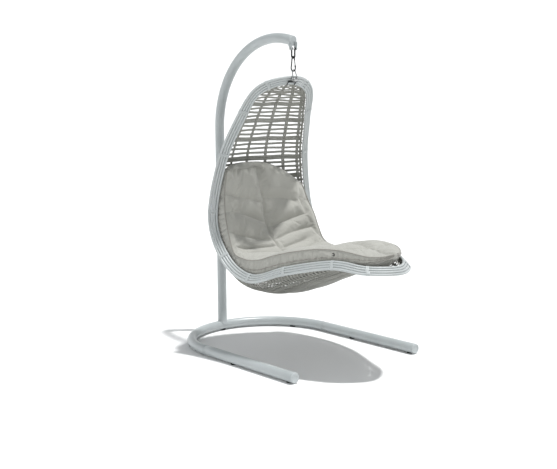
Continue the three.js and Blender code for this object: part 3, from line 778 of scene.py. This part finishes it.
def make_shackle():
    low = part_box("shackle")[0]
    half, wire = 0.013, 0.005
    centre = low.z + wire + half
    bow = arc(0, centre, half, 180, 360, 40)
    outline = np.concatenate([[(-half, HANG.z - 0.004)], bow, [(half, HANG.z - 0.004)]])
    path = np.column_stack([outline[:, 0], np.full(len(outline), HANG.y), outline[:, 1]])
    build = Build()
    sweep(build, dense(path, 0.0015), circle(wire, 20))
    for x in (-half, half):
        ring_round_x(build, x, HANG.y, HANG.z, 0.0095, 0.0053, 0.008)
    fused(build, "bow_shackle", "black_steel", "shackle", 0.0007, ["shackle"])


def make_hook():
    low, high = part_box("snap_hook")
    wire, top_r, low_r = 0.004, 0.011, 0.020
    top_c, low_c = high.z - wire - top_r, low.z + wire + low_r
    lean = math.asin((low_r - top_r) / (top_c - low_c))
    tilt = math.degrees(lean)
    tangent_top = np.array([-top_r * math.cos(lean), top_c + top_r * math.sin(lean)])
    tangent_low = np.array([-low_r * math.cos(lean), low_c + low_r * math.sin(lean)])
    on_line = lambda share: tangent_top + (tangent_low - tangent_top) * share
    top = arc(0, top_c, top_r, 180 - tilt, tilt, 40)
    bottom = arc(0, low_c, low_r, tilt, -180 - tilt, 70)
    outline = np.concatenate([[on_line(0.22)], top, bottom, [on_line(0.80)]])
    path = np.column_stack([np.zeros(len(outline)), HANG.y + outline[:, 0], outline[:, 1]])
    build = Build()
    sweep(build, dense(path, 0.0015), circle(wire, 20), round_ends=0.002)
    hinge = on_line(0.86)
    for x in (-0.0036, 0.0036):
        ring_round_x(build, x, HANG.y + hinge[0], hinge[1], 0.0046, 0.0018, 0.0022)
    fused(build, "carabiner_body", "black_steel", "hook", 0.0006, ["snap_hook"])

    build = Build()
    gate = np.array([[0, HANG.y + p[0], p[1]] for p in (on_line(0.83), on_line(0.25))])
    sweep(build, dense(gate, 0.001), circle(0.0026, 16), round_ends=0.0018)
    ring_round_x(build, 0, HANG.y + hinge[0], hinge[1], 0.0034, 0.0017, 0.0044)
    fused(build, "carabiner_gate", "black_steel", "gate", 0.0005, ["hook_gate"])
    build = Build()
    ends = [(0, -4.9), (1.9, -4.9), (2.1, -4.3), (1.4, -4.2), (1.4, 4.2), (2.1, 4.3), (1.9, 4.9), (0, 4.9)]
    rivet = np.array(soften(ends, 0.3)) * MM
    lathe(build, rivet, (0, HANG.y + hinge[0], hinge[1]), (1, 0, 0), 24)
    build.make("gate_rivet", "bright_steel", "hook", replaces=["gate_pin"])


def make_link():
    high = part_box("chair_link")[1]
    wire, top_r, foot_x = 0.0035, 0.013, 0.020
    top_z = high.z - wire
    bow = arc(0, top_z - top_r, top_r, 200, -20, 40)
    outline = np.concatenate([[(-foot_x, BOLT.z + 0.005)], bow, [(foot_x, BOLT.z + 0.005)]])
    path = dense(np.column_stack([outline[:, 0], 0 * outline[:, 0], outline[:, 1]]), 0.0015)
    # The legs lean forward to clear the outer cane and then drop straight to the bolt.
    lean = np.minimum(1, (top_z - path[:, 2]) / (top_z - BOLT.z - LINK_STRAIGHT))
    path[:, 1] = HANG.y + (BOLT.y - HANG.y) * lean
    build = Build()
    sweep(build, path, circle(wire, 20))
    for x in (-foot_x, foot_x):
        ring_round_x(build, x, BOLT.y, BOLT.z, 0.0085, 0.0043, 0.0064)
    fused(build, "swivel_link", "bright_steel", "link", 0.0006, ["chair_link"])


def make_bolts():
    hex_bolt("lug_pin", -0.0242, 0.032, HANG.y, HANG.z, 0.005, 0.0085, "lug_pin_nut")
    hex_bolt("hanger_bolt", -0.0237, 0.031, BOLT.y, BOLT.z, 0.004, 0.007, "hanger_bolt_nut")


# ---------- the hanger on the rim ----------
def row_place(u, v, w):
    """A place on the leaning row of canes at its top: u along X, v along the row, w out of its face."""
    f = RimFrame(np.array([0.0]))
    row, face = f.row[0], np.array([0, -f.row[0][2], f.row[0][1]])
    flat = f.place[0] + np.asarray(v)[..., None] * row + np.asarray(w)[..., None] * face
    flat[..., 0] = u
    return to_frame(flat)


def make_hanger():
    face = CANE_R + STRAP_CLEAR + STRAP_T + 0.3
    bar_x, stem_x, bar_low, bar_high, stem_top = PLATE
    corners = [(-bar_x, bar_low), (bar_x, bar_low), (bar_x, bar_high), (stem_x, bar_high)]
    corners += [(stem_x, stem_top), (-stem_x, stem_top), (-stem_x, bar_high), (-bar_x, bar_high)]
    outline = np.array(soften(corners, 2.0))
    build = Build()
    rings = []
    for shrink, w in ((0.9, 0), (0, 0.9), (0, PLATE_T - 0.9), (0.9, PLATE_T)):
        turned = np.roll(outline, -1, 0) - np.roll(outline, 1, 0)
        inward = unit(np.column_stack([-turned[:, 1], turned[:, 0]]))
        o = outline + inward * shrink
        rings.append(row_place(o[:, 0], o[:, 1], np.full(len(o), face + w)))
    index = build.grid(np.array(rings), wrap_cols=True)
    middle = (0.0, np.array(bar_high), np.array(face))
    build.cap(index[0][::-1], row_place(*middle))
    build.cap(index[-1], row_place(middle[0], middle[1], middle[2] + PLATE_T))
    build.make("hanger_plate", "black_steel", "chair", replaces=["clamp_plate"])

    # The boss is a barrel about the bolt with softly rounded ends.
    half, r, bore = 0.015, 0.012, 0.0043
    back = row_place(0.0, np.array(0.0), np.array(face + PLATE_T + 0.2))
    on_row, off_row = (row_place(0.0, np.array(0.0), np.array(w)) for w in (0.0, 1.0))
    normal = unit(off_row - on_row)
    rings = []
    a = np.arange(64) * 2 * math.pi / 64
    profile = [(bore, -half), (r - 0.003, -half), (r - 0.0008, -half + 0.001), (r, -half + 0.004), (r, 0.0)]
    profile += [(radius, -x) for radius, x in profile[-2::-1]]
    for radius, x in profile:
        ring = np.stack([0 * a + x, BOLT.y + radius * np.cos(a), BOLT.z + radius * np.sin(a)], -1)
        behind = np.minimum((ring - back) @ normal, 0)
        rings.append(ring - behind[:, None] * normal)
    build = Build()
    build.grid(np.array(rings), wrap_rows=True, wrap_cols=True)
    build.make("hanger_boss", "bright_steel", "chair", replaces=["hanger_barrel"])

    for side, sign in (("left", -1), ("right", 1)):
        make_strap(side, sign)


def make_strap(side, sign):
    """A flat J: down the front of the lower canes, under the row and up its back."""
    low = -cane_offset(CANES - 1)
    reach = CANE_R + STRAP_CLEAR
    turn = np.radians(np.linspace(0, -180, 25))
    v = [PLATE[3], 0.0, low, *(low + (reach + STRAP_T / 2) * np.sin(turn[1:-1])), low, 0.0, -low]
    w = (reach + STRAP_T / 2) * np.array([1, 1, 1, *np.cos(turn[1:-1]), -1, -1, -1])
    aside = RimFrame(np.array([STRAP_X / RIM[1][2] / RIM_SPANS]))
    shift = np.array([0, 1, 1]) * (aside.place[0] - RimFrame(np.array([0.0])).place[0]) * MM
    path = row_place(sign * STRAP_X, np.array(v), w) + shift
    build = Build()
    across = np.tile([1.0, 0, 0], (len(path), 1))
    heading = tangents(path, False)
    section = flat_oval(STRAP_W / 2, STRAP_T / 2, 12) * MM
    sweep(build, path, section, across=(across, np.cross(heading, across)), round_ends=0.0008)
    build.make(f"{side}_clamp_band", "black_steel", "chair", replaces=[f"{side}_clamp_strap"])


# ---------- rim canes and their bindings ----------
def cane_offset(k):
    return (k - (CANES - 1) / 2) * CANE_PITCH


def make_canes():
    t = np.arange(480) / 480
    f = RimFrame(t)
    for k, name in enumerate(["inner", "second", "third", "outer"]):
        # a cane is never quite even: it swells a little at its joints and wanders a hair
        swell = 0.12 * np.sin(2 * math.pi * (17 * t + k * 0.31)) + 0.08 * np.sin(2 * math.pi * (41 * t + k))
        wander = 0.15 * np.sin(2 * math.pi * (9 * t + k * 0.2))
        centre = f.place + f.row * (cane_offset(k) + wander)[:, None]
        section = circle(1, 16)[None] * (CANE_R - 0.15 + swell)[:, None, None]
        build = Build()
        sweep(build, to_frame(centre), section * MM, closed=True, across=(f.row, f.face))
        build.make(f"{name}_cane", "rim_cane", "chair", replaces=[f"{name}_rim_cane"])


def make_bindings():
    """Each binding is three turns of flat cane wound side by side round the row."""
    turns, strip, thick = 3, 6.2, 1.3
    for station in BINDING_STATIONS:
        for side, place in (("left", station), ("right", LOOP_STATIONS - 1 - station)):
            build = Build()
            mid = (place + 0.5) / LOOP_STATIONS
            ends = RimFrame(np.array([mid - 1e-3, mid + 1e-3])).place
            speed = np.linalg.norm(ends[1] - ends[0]) / 2e-3
            phase = np.linspace(0, turns, 56 * turns)
            t = mid + (phase - turns / 2) * (strip + 0.2) / speed
            f = RimFrame(t)
            # The two ends are tucked under the neighbouring turn.
            tuck = np.minimum(1, np.minimum(phase, turns - phase) / 0.12)
            u, v, nu, nv = oval_point((phase + 0.13) % 1, CANE_R + 0.2 + thick * (0.1 + 0.4 * tuck))
            centre = f.place + f.row * u[:, None] + f.face * v[:, None]
            outward = f.row * nu[:, None] + f.face * nv[:, None]
            section = flat_oval(strip / 2, thick / 2, 10)
            sweep(build, to_frame(centre), section * MM, across=(f.tangent, outward), round_ends=0.0006)
            name = f"{side}_binding_{station}"
            build.make(f"{side}_wrap_{station}", "rim_cane", "chair", replaces=[name])


def oval_point(share, radius):
    """A point of a stadium round the row of canes, and its outward direction; share is 0 to 1."""
    half = cane_offset(CANES - 1)
    straight, bend = 2 * half, math.pi * radius
    total = 2 * (straight + bend)
    s = (share * total) % total
    u, v, nu, nv = (np.zeros_like(s) for _ in range(4))
    for k, sign in ((0, 1), (1, -1)):
        base = k * (straight + bend)
        on_flat = (s >= base) & (s < base + straight)
        w = s - base
        u = np.where(on_flat, sign * (half - w), u)
        v = np.where(on_flat, sign * radius, v)
        nv = np.where(on_flat, sign, nv)
        on_bend = (s >= base + straight) & (s < base + straight + bend)
        a = (w - straight) / radius
        u = np.where(on_bend, -sign * (half + radius * np.sin(a)), u)
        v = np.where(on_bend, sign * radius * np.cos(a), v)
        nu = np.where(on_bend, -sign * np.sin(a), nu)
        nv = np.where(on_bend, sign * np.cos(a), nv)
    return u, v, nu, nv


# ---------- weave ----------
STAKE_SIDES = np.arange(-3, 4) * 0.29
BORDER_SIDE = 0.965
STAKE_R = 5.4
STAKE_FLAT = 0.5  # a stake's thickness against its width
OPEN_SWING = 3.4
CLOSED_SWING = 4.6
OPEN_STRAND = 17.5
BAND_PITCH = 17.0
CLOSED_PITCH = 12.6
STRAND_T = 4.4
BAND_NUMBERS = [-2, 0, 1, 2, 3, 4, 12]
BAND_PLACES = [-50.0, 172.0, 285.0, 414.0, 554.0, 692.0, 1796.0]  # along the shell's middle from the hanger
BAND_SPACING = 138.0  # between full-size bands
FIRST_ROW = 24.0
OPEN_END_STATION = 21.0
TOP_T = 0.012
FOOT_T = 0.4935

MIDLINE_T = np.linspace(TOP_T, FOOT_T, 800)
MIDLINE_L = lengths(shell_point(MIDLINE_T, 0 * MIDLINE_T))


def t_at(distance):
    return np.interp(distance, MIDLINE_L, MIDLINE_T)


def open_rows():
    """Phases and distances of the open weave: bands of two strands with three single strands between."""
    end = np.interp(OPEN_END_STATION / LOOP_STATIONS, MIDLINE_T, MIDLINE_L)
    rows = []
    for k in range(-2, 12):
        here, after = (np.interp(n, BAND_NUMBERS, BAND_PLACES) for n in (k, k + 1))
        half = BAND_PITCH / 2 * (after - here) / BAND_SPACING
        rows += [(k, here - half), (k, here + half)]
        rows += [(k + 1 + n, here + (after - here) * share) for n, share in enumerate((0.27, 0.5, 0.73))]
    return [(phase, place) for phase, place in rows if FIRST_ROW < place < end]


def closed_rows():
    start = np.interp(OPEN_END_STATION / LOOP_STATIONS, MIDLINE_T, MIDLINE_L)
    count = int((MIDLINE_L[-1] - start) / CLOSED_PITCH)
    return [start + (k + 0.5) * CLOSED_PITCH for k in range(count)]


STAKE_LINES = np.concatenate([[-BORDER_SIDE], STAKE_SIDES, [BORDER_SIDE]])


def strand_path(distance, phase, swing):
    """A strand across the shell that passes in front of one stake and behind the next."""
    side = np.linspace(-1.0, 1.0, 141)
    t = np.full_like(side, t_at(distance))
    point, along, _, normal = shell_axes(t, side)
    column = np.interp(side, STAKE_LINES, np.arange(len(STAKE_LINES)))
    wave = np.cos(math.pi * (column + phase))
    offset = swing * np.sign(wave) * np.abs(wave) ** 0.75
    return point + normal * offset[:, None], along, normal


def make_weave_panel(name, node, rows, width):
    build = Build()
    half = max(width / 2 - 0.3, 2)
    swing = OPEN_SWING if width == OPEN_STRAND else CLOSED_SWING
    for number, distance in rows:
        path, along, normal = strand_path(distance, number % 2, swing)
        girth = np.linalg.norm(path[0] - path[-1])
        if girth < 40:
            continue
        section = flat_oval(half, STRAND_T / 2, 10)
        sweep(build, to_frame(path), section * MM, across=(along, normal), round_ends=0.001)
    build.make(name, "wicker", "chair", replaces=[node])


def make_stakes():
    """Pairs of round stakes run the length of the shell; the border pairs lie beside the rim."""
    build = Build()
    t = np.linspace(TOP_T, FOOT_T, 260)
    for side in STAKE_LINES:
        border = abs(side) == BORDER_SIDE
        for shift in (-1, 1):
            sides = np.full_like(t, side)
            point, _, across, normal = shell_axes(t, sides)
            half = np.abs(shell_point(t, np.ones_like(t))[:, 0])
            fade = np.clip(half / 60, 0.15, 1)
            r = STAKE_R * fade * (0.8 if border else 1)
            centre = point + across * (shift * r * 1.04)[:, None]
            section = circle(1, 10)[None] * np.stack([r, r * STAKE_FLAT], -1)[:, None, :]
            sweep(build, to_frame(centre), section * MM, across=(across, normal), round_ends=0.0015)
    build.make("weave_stakes", "wicker", "chair")


def make_lacing():
    """Short strands that tie the border stakes to the inner rim cane, slanting from one to the other."""
    build = Build()
    count = 120
    for sign in (-1, 1):
        for k in range(count):
            t0 = 0.03 + (0.46 * k) / count
            u = np.linspace(0, 1, 12)
            f = RimFrame((t0 + 0.0022 * u) if sign < 0 else 1 - (t0 + 0.0022 * u))
            cane = f.place + f.row * cane_offset(0)
            edge = shell_point(t0 + 0.0022 * u, np.full_like(u, sign * (BORDER_SIDE + 0.01)))
            loop = np.pi * u
            path = cane * u[:, None] + edge * (1 - u)[:, None]
            path = path + f.wall * (2.0 * np.sin(loop))[:, None]
            keep = np.linalg.norm(path - cane, axis=1) > CANE_R * 0.6
            path = path[keep]
            if len(path) < 4:
                continue
            sweep(build, to_frame(path), flat_oval(4.6, 1.9, 8) * MM, round_ends=0.0008)
    build.make("edge_lacing", "wicker", "chair")


def make_weave():
    stations = {
        "hood_weave": (0, 9), "upper_back_weave": (9, 15), "lower_back_weave": (15, 21),
        "heel_weave": (21, 27), "seat_weave": (27, 34), "leg_rest_weave": (34, 48),
    }
    opened = open_rows()
    closed = list(enumerate(closed_rows()))
    for node, (start, end) in stations.items():
        rows, width = (opened, OPEN_STRAND) if start < OPEN_END_STATION else (closed, CLOSED_PITCH - 2.0)
        chosen = [(k, d) for k, d in rows if start <= t_at(d) * LOOP_STATIONS < end]
        make_weave_panel(node.replace("_weave", "_wicker"), node, chosen, width)
    make_stakes()
    make_lacing()


# ---------- cushion ----------
# One row for each place along the cushion: station, heights of the left and right top seams above the
# rim's plane, height of the middle pleat, thickness at the sides, thickness in the middle.
CUSHION = np.array([
    [14.2, 2, -14, -112, 46, 34],
    [16, 14, -6, -48, 72, 86],
    [18, 46, 40, 2, 104, 118],
    [20, 64, 74, 2, 112, 122],
    [22, 54, 66, 10, 96, 130],
    [24, 30, 50, 24, 78, 140],
    [26, 60, 72, 44, 96, 146],
    [28, 92, 104, 70, 118, 146],
    [30, 112, 118, 88, 132, 146],
    [33, 98, 84, 86, 118, 136],
    [36, 85, 66, 72, 104, 118],
    [39, 62, 58, 60, 78, 96],
    [42, 57, 66, 58, 44, 68],
    [45, 60, 70, 62, 22, 40],
    [47, 76, 78, 72, 9, 12],
])
# station and depth of each pair of creases
CREASES = [
    (17.4, 9), (19.6, 10), (21.6, 12), (23.3, 16), (25.0, 10),
    (28.2, 8), (31.5, 8), (35.2, 7), (39.5, 6),
]
PLEAT = 11
RIB = 2.4
CUSHION_INSET = 30  # from the inner cane to the cushion's seam
GUSSET_ROWS = 12
EYELET_STATION = 38.2
EYELET_COLUMN = 8
FACE_ROWS = 88
FILL_SPACING = 8.0
CLOTH_FRAMES = 20
CLOTH_REACH = 0.024


def seam_rings(stations):
    """Rings across the cushion: the top face, the right gusset, the bottom face and the left gusset."""
    values = np.stack([smooth_column(stations, k) for k in range(1, 6)], -1)
    left, right, middle, side_t, middle_t = np.moveaxis(values, -1, 0)
    f = RimFrame(stations / LOOP_STATIONS)
    edge = f.place + f.row * cane_offset(0)
    half = np.maximum(np.abs(edge[:, 0]) - CUSHION_INSET, 14)
    b = np.linspace(-1, 1, FACE_ROWS)
    seam = left[:, None] * (1 - b) / 2 + right[:, None] * (1 + b) / 2
    bow = b**2 * (1 - 0.25 * (1 - b**2))
    top = middle[:, None] + (seam - middle[:, None]) * bow
    crown = (1 - np.abs(b)) * np.abs(b) * 4
    top = top + crown * np.minimum(side_t, 60)[:, None] * 0.10
    low_edge = seam - side_t[:, None]
    low_middle = (middle - middle_t)[:, None]
    low = low_middle + (low_edge - low_middle) * b**2
    rise = np.linspace(0, 1, GUSSET_ROWS + 2)[1:-1]
    rings = []
    for i in range(len(stations)):
        swell = np.sin(rise * math.pi) * min(side_t[i] * 0.1, 9)
        right_wall = [(1 + swell[k] / half[i], seam[i, -1] - side_t[i] * rise[k]) for k in range(GUSSET_ROWS)]
        left_wall = [(-1 - swell[k] / half[i], seam[i, 0] - side_t[i] * rise[k]) for k in range(GUSSET_ROWS)]
        faces = [*zip(b, top[i]), *right_wall, *zip(b[::-1], low[i, ::-1]), *left_wall[::-1]]
        place = np.array(faces)
        ring = np.column_stack([place[:, 0] * half[i], np.tile(edge[i, 1:], (len(place), 1))])
        rings.append(ring - f.wall[i] * place[:, 1:])
    rings = np.array(rings)
    # The top end is an arch that hangs lower on the right.
    columns = np.concatenate([b, np.ones(GUSSET_ROWS), b[::-1], -np.ones(GUSSET_ROWS)])
    droop = 2.3 * np.maximum(columns, 0) ** 2 + 0.7 * np.maximum(-columns, 0) ** 4
    fade = np.clip(1 - (stations - stations[0]) / 8, 0, 1)
    for j in range(rings.shape[1]):
        places = stations + droop[j] * fade
        rings[:, j] = np.stack([np.interp(places, stations, rings[:, j, k].copy()) for k in range(3)], -1)
    return rings


def smooth_column(stations, column):
    """A column of the cushion's table at any station, along a curve through its rows."""
    rows = CUSHION[:, 0]
    slope = np.gradient(CUSHION[:, column], rows)
    k = np.clip(np.searchsorted(rows, stations) - 1, 0, len(rows) - 2)
    span = rows[k + 1] - rows[k]
    u = (stations - rows[k]) / span
    a, b = CUSHION[k, column], CUSHION[k + 1, column]
    return (
        a * (1 + 2 * u) * (1 - u) ** 2 + slope[k] * span * u * (1 - u) ** 2
        + b * u**2 * (3 - 2 * u) + slope[k + 1] * span * u**2 * (u - 1)
    )


def cushion_stations():
    first, last = CUSHION[0, 0], CUSHION[-1, 0]
    fine = np.linspace(first, last, 600)
    middle = RimFrame(fine / LOOP_STATIONS).place
    run = lengths(middle)
    count = int(run[-1] / FILL_SPACING)
    return np.interp(np.linspace(0, run[-1], count), run, fine)


def creases():
    """Each crease runs from a seam down to the pleat: its stations by column, its columns and its depth."""
    b = np.linspace(-1, 1, FACE_ROWS)
    rng = np.random.default_rng(4)
    found = []
    for station, deep in CREASES:
        for sign in (-1, 1):
            slope = rng.uniform(0.5, 1.9)
            start = station + rng.uniform(-0.5, 0.5)
            reach = rng.uniform(0.75, 1.0)
            at = start + slope * (0.5 - np.abs(b)) + 0.2 * np.sin(4 * b + station)
            inside = np.clip(sign * b * 8, 0, 1) * np.clip((reach - sign * b) * 5, 0, 1)
            found.append((at, inside, deep))
    return found


def quilted(rings, stations):
    """Presses the pleat down the middle and the creases across it into the top face."""
    b = np.linspace(-1, 1, FACE_ROWS)
    walls = RimFrame(stations / LOOP_STATIONS).wall
    depth = np.tile(PLEAT * np.exp(-((b / 0.035) ** 2)), (len(stations), 1))
    for at, inside, deep in creases():
        away = (stations[:, None] - at[None, :]) / 0.2
        depth += 1.25 * deep * inside[None, :] * np.exp(-(away**2))
    fade = np.clip((stations - stations[0]) / 1.2, 0, 1) * np.clip((stations[-1] - stations) / 1.2, 0, 1)
    rings = rings.copy()
    rings[:, :FACE_ROWS] += walls[:, None, :] * (depth * fade[:, None])[..., None]
    # The gusset puckers into upright ribs where it is sewn.
    n = len(stations)
    rng = np.random.default_rng(7)
    for first in (FACE_ROWS, 2 * FACE_ROWS + GUSSET_ROWS):
        rib = np.sin(np.arange(n) * 1.9 + 2 * np.sin(np.arange(n) * 0.37)) * rng.uniform(0.5, 1.5, n)
        for k in range(GUSSET_ROWS):
            rings[:, first + k, 0] += rib * RIB * math.sin(math.pi * (k + 1) / (GUSSET_ROWS + 1))
    return rings


def seam_columns():
    """The ring columns of the four long seams: top left, top right, bottom right, bottom left."""
    second = FACE_ROWS + GUSSET_ROWS
    return [0, FACE_ROWS - 1, second, second + FACE_ROWS - 1]


def billowed(cushion, held):
    """Blows the cover up as cloth with its seams and pleats held, and returns where each point ends."""
    mesh = cushion.data
    before = np.empty(len(mesh.vertices) * 3)
    mesh.vertices.foreach_get("co", before)
    group = cushion.vertex_groups.new(name="sewn")
    for share in np.unique(held[held > 0]):
        group.add(np.nonzero(held == share)[0].tolist(), float(share), "REPLACE")
    cloth = cushion.modifiers.new("cloth", "CLOTH")
    cloth.settings.quality = 6
    cloth.settings.mass = 0.25
    cloth.settings.tension_stiffness = 12
    cloth.settings.compression_stiffness = 12
    cloth.settings.shear_stiffness = 4
    cloth.settings.bending_stiffness = 0.4
    cloth.settings.air_damping = 2
    cloth.settings.use_pressure = True
    cloth.settings.uniform_pressure_force = 3.5
    cloth.settings.shrink_min = -0.035
    cloth.settings.shrink_max = -0.035
    cloth.settings.vertex_group_mass = "sewn"
    cloth.settings.pin_stiffness = 1.0
    cloth.settings.effector_weights.gravity = 0
    cloth.collision_settings.use_collision = False
    cloth.point_cache.frame_start = 1
    cloth.point_cache.frame_end = CLOTH_FRAMES
    scene = bpy.context.scene
    for number in range(1, CLOTH_FRAMES + 1):
        scene.frame_set(number)
    graph = bpy.context.evaluated_depsgraph_get()
    result = cushion.evaluated_get(graph).to_mesh()
    after = np.empty_like(before)
    result.vertices.foreach_get("co", after)
    cushion.evaluated_get(graph).to_mesh_clear()
    cushion.modifiers.remove(cloth)
    scene.frame_set(1)
    before, after = before.reshape(-1, 3), after.reshape(-1, 3)
    moved = after - before
    far = np.linalg.norm(moved, axis=1, keepdims=True)
    moved *= np.minimum(1, CLOTH_REACH / np.maximum(far, 1e-9))
    mesh.vertices.foreach_set("co", (before + moved).ravel())
    mesh.update()
    return before + moved


def make_cushion():
    stations = cushion_stations()
    rings = to_frame(quilted(seam_rings(stations), stations))
    build = Build()
    along = lengths(rings[:, FACE_ROWS // 4])
    around = lengths(rings[len(rings) // 2])
    uv = np.stack(np.meshgrid(along, around, indexing="ij"), -1)
    index = build.grid(rings, uv, wrap_cols=True)
    build.cap(index[0][::-1], rings[0].mean(0))
    build.cap(index[-1], rings[-1].mean(0))
    cushion = build.make("lounge_cushion", "cushion_fabric", "chair", replaces=["cushion"])
    held = np.zeros(len(cushion.data.vertices))
    held[index.max() + 1 :] = 1
    held[index[:, seam_columns()].ravel()] = 1
    held[index[[0, 1, -2, -1]].ravel()] = 1
    middle = [FACE_ROWS // 2 - 1, FACE_ROWS // 2]
    held[index[:, middle].ravel()] = 0.7
    for at, inside, _ in creases():
        rows = np.abs(stations[:, None] - at[None, :]).argmin(0)
        columns = np.nonzero(inside > 0.6)[0]
        held[index[rows[columns], columns]] = 0.3
    rings = billowed(cushion, held)[index]
    finer = cushion.modifiers.new("finer", "SUBSURF")
    finer.levels = 1
    finer.render_levels = 1
    make_piping(rings)
    make_eyelet(rings, stations)


def make_piping(rings):
    """Piping is sewn into the top seam, along the middle of the gusset and into the bottom seam."""
    top_left, top_right, low_right, low_left = seam_columns()
    half = GUSSET_ROWS // 2
    loops = {"top": (top_left, top_right), "low": (low_left, low_right)}
    loops["side"] = (low_left + half, top_right + half)
    for name, (left, right) in loops.items():
        build = Build()
        for column, sign in ((left, -1), (right, 1)):
            path = rings[1:-1, column].copy()
            path[:, 0] += sign * 0.0015
            sweep(build, path, circle(0.0032, 10), round_ends=0.001)
        build.make(f"cushion_{name}_piping", "piping_fabric", "chair", slot="cushion_fabric")


def make_eyelet(rings, stations):
    """A small black ring let into the left gusset towards the foot."""
    row = int(np.abs(stations - EYELET_STATION).argmin())
    place = rings[row, 2 * FACE_ROWS + GUSSET_ROWS + EYELET_COLUMN]
    build = Build()
    ring_round_x(build, place[0] - 0.0015, place[1], place[2], 0.0105, 0.0055, 0.005)
    build.make("cushion_eyelet", "black_steel", "chair")


# ---------- camera, floor and light ----------
def make_camera():
    data = bpy.data.cameras.new("camera")
    data.sensor_width = 36
    data.lens = 66.92
    data.clip_end = 100
    camera = bpy.data.objects.new("camera", data)
    bpy.context.scene.collection.objects.link(camera)
    azimuth, elevation, roll = (math.radians(a) for a in (-39.998, 8.088, -0.4115))
    level = math.cos(elevation)
    back = Vector((math.sin(azimuth) * level, -math.cos(azimuth) * level, math.sin(elevation)))
    right = Vector((math.cos(azimuth), math.sin(azimuth), 0))
    up = back.cross(right)
    x_axis = right * math.cos(roll) + up * math.sin(roll)
    y_axis = up * math.cos(roll) - right * math.sin(roll)
    turn = Matrix((x_axis, y_axis, back)).transposed().to_4x4()
    camera.matrix_world = Matrix.Translation((-4.3256, -4.9316, 1.7053)) @ turn
    bpy.context.scene.camera = camera


def make_stage():
    """A white floor that curves up far from the chair."""
    profile = [(0.0, 0.0), (8.0, 0.0), (9.0, 0.15), (10.5, 0.9), (12.5, 2.8), (15.5, 6.4)]
    vertices = []
    faces = []
    turn = 64
    for radius, height in profile:
        for k in range(turn):
            a = 2 * math.pi * k / turn
            vertices.append((radius * math.cos(a), radius * math.sin(a), height - 0.0005))
    for ring in range(len(profile) - 1):
        for k in range(turn):
            a, b = ring * turn + k, ring * turn + (k + 1) % turn
            faces.append((a, b, b + turn, a + turn))
    mesh = bpy.data.meshes.new("floor")
    mesh.from_pydata(vertices, [], faces)
    mesh.validate()
    floor = bpy.data.objects.new("floor", mesh)
    bpy.context.scene.collection.objects.link(floor)
    nodes = Nodes("floor_white")
    nodes.set(Base_Color=(0.87, 0.87, 0.87, 1), Roughness=0.95)
    mesh.materials.append(nodes.material)


def make_light():
    sun = bpy.data.lights.new("sun", "SUN")
    sun.energy = 3.3
    sun.angle = math.radians(3)
    lamp = bpy.data.objects.new("sun", sun)
    bpy.context.scene.collection.objects.link(lamp)
    shine = Vector((-0.20, 0.16, -1)).normalized()
    lamp.rotation_mode = "QUATERNION"
    lamp.rotation_quaternion = shine.to_track_quat("-Z", "Y")
    world = bpy.data.worlds.new("studio")
    bpy.context.scene.world = world
    world.use_nodes = True
    background = world.node_tree.nodes["Background"]
    background.inputs["Color"].default_value = (0.94, 0.98, 1.0, 1)
    background.inputs["Strength"].default_value = 0.45
    bpy.context.scene.view_settings.view_transform = "Standard"


make_camera()
make_stage()
make_light()
make_base()
make_pads()
make_mast()
make_arm_end()
make_shackle()
make_hook()
make_link()
make_bolts()
make_hanger()
make_canes()
make_bindings()
make_weave()
make_cushion()
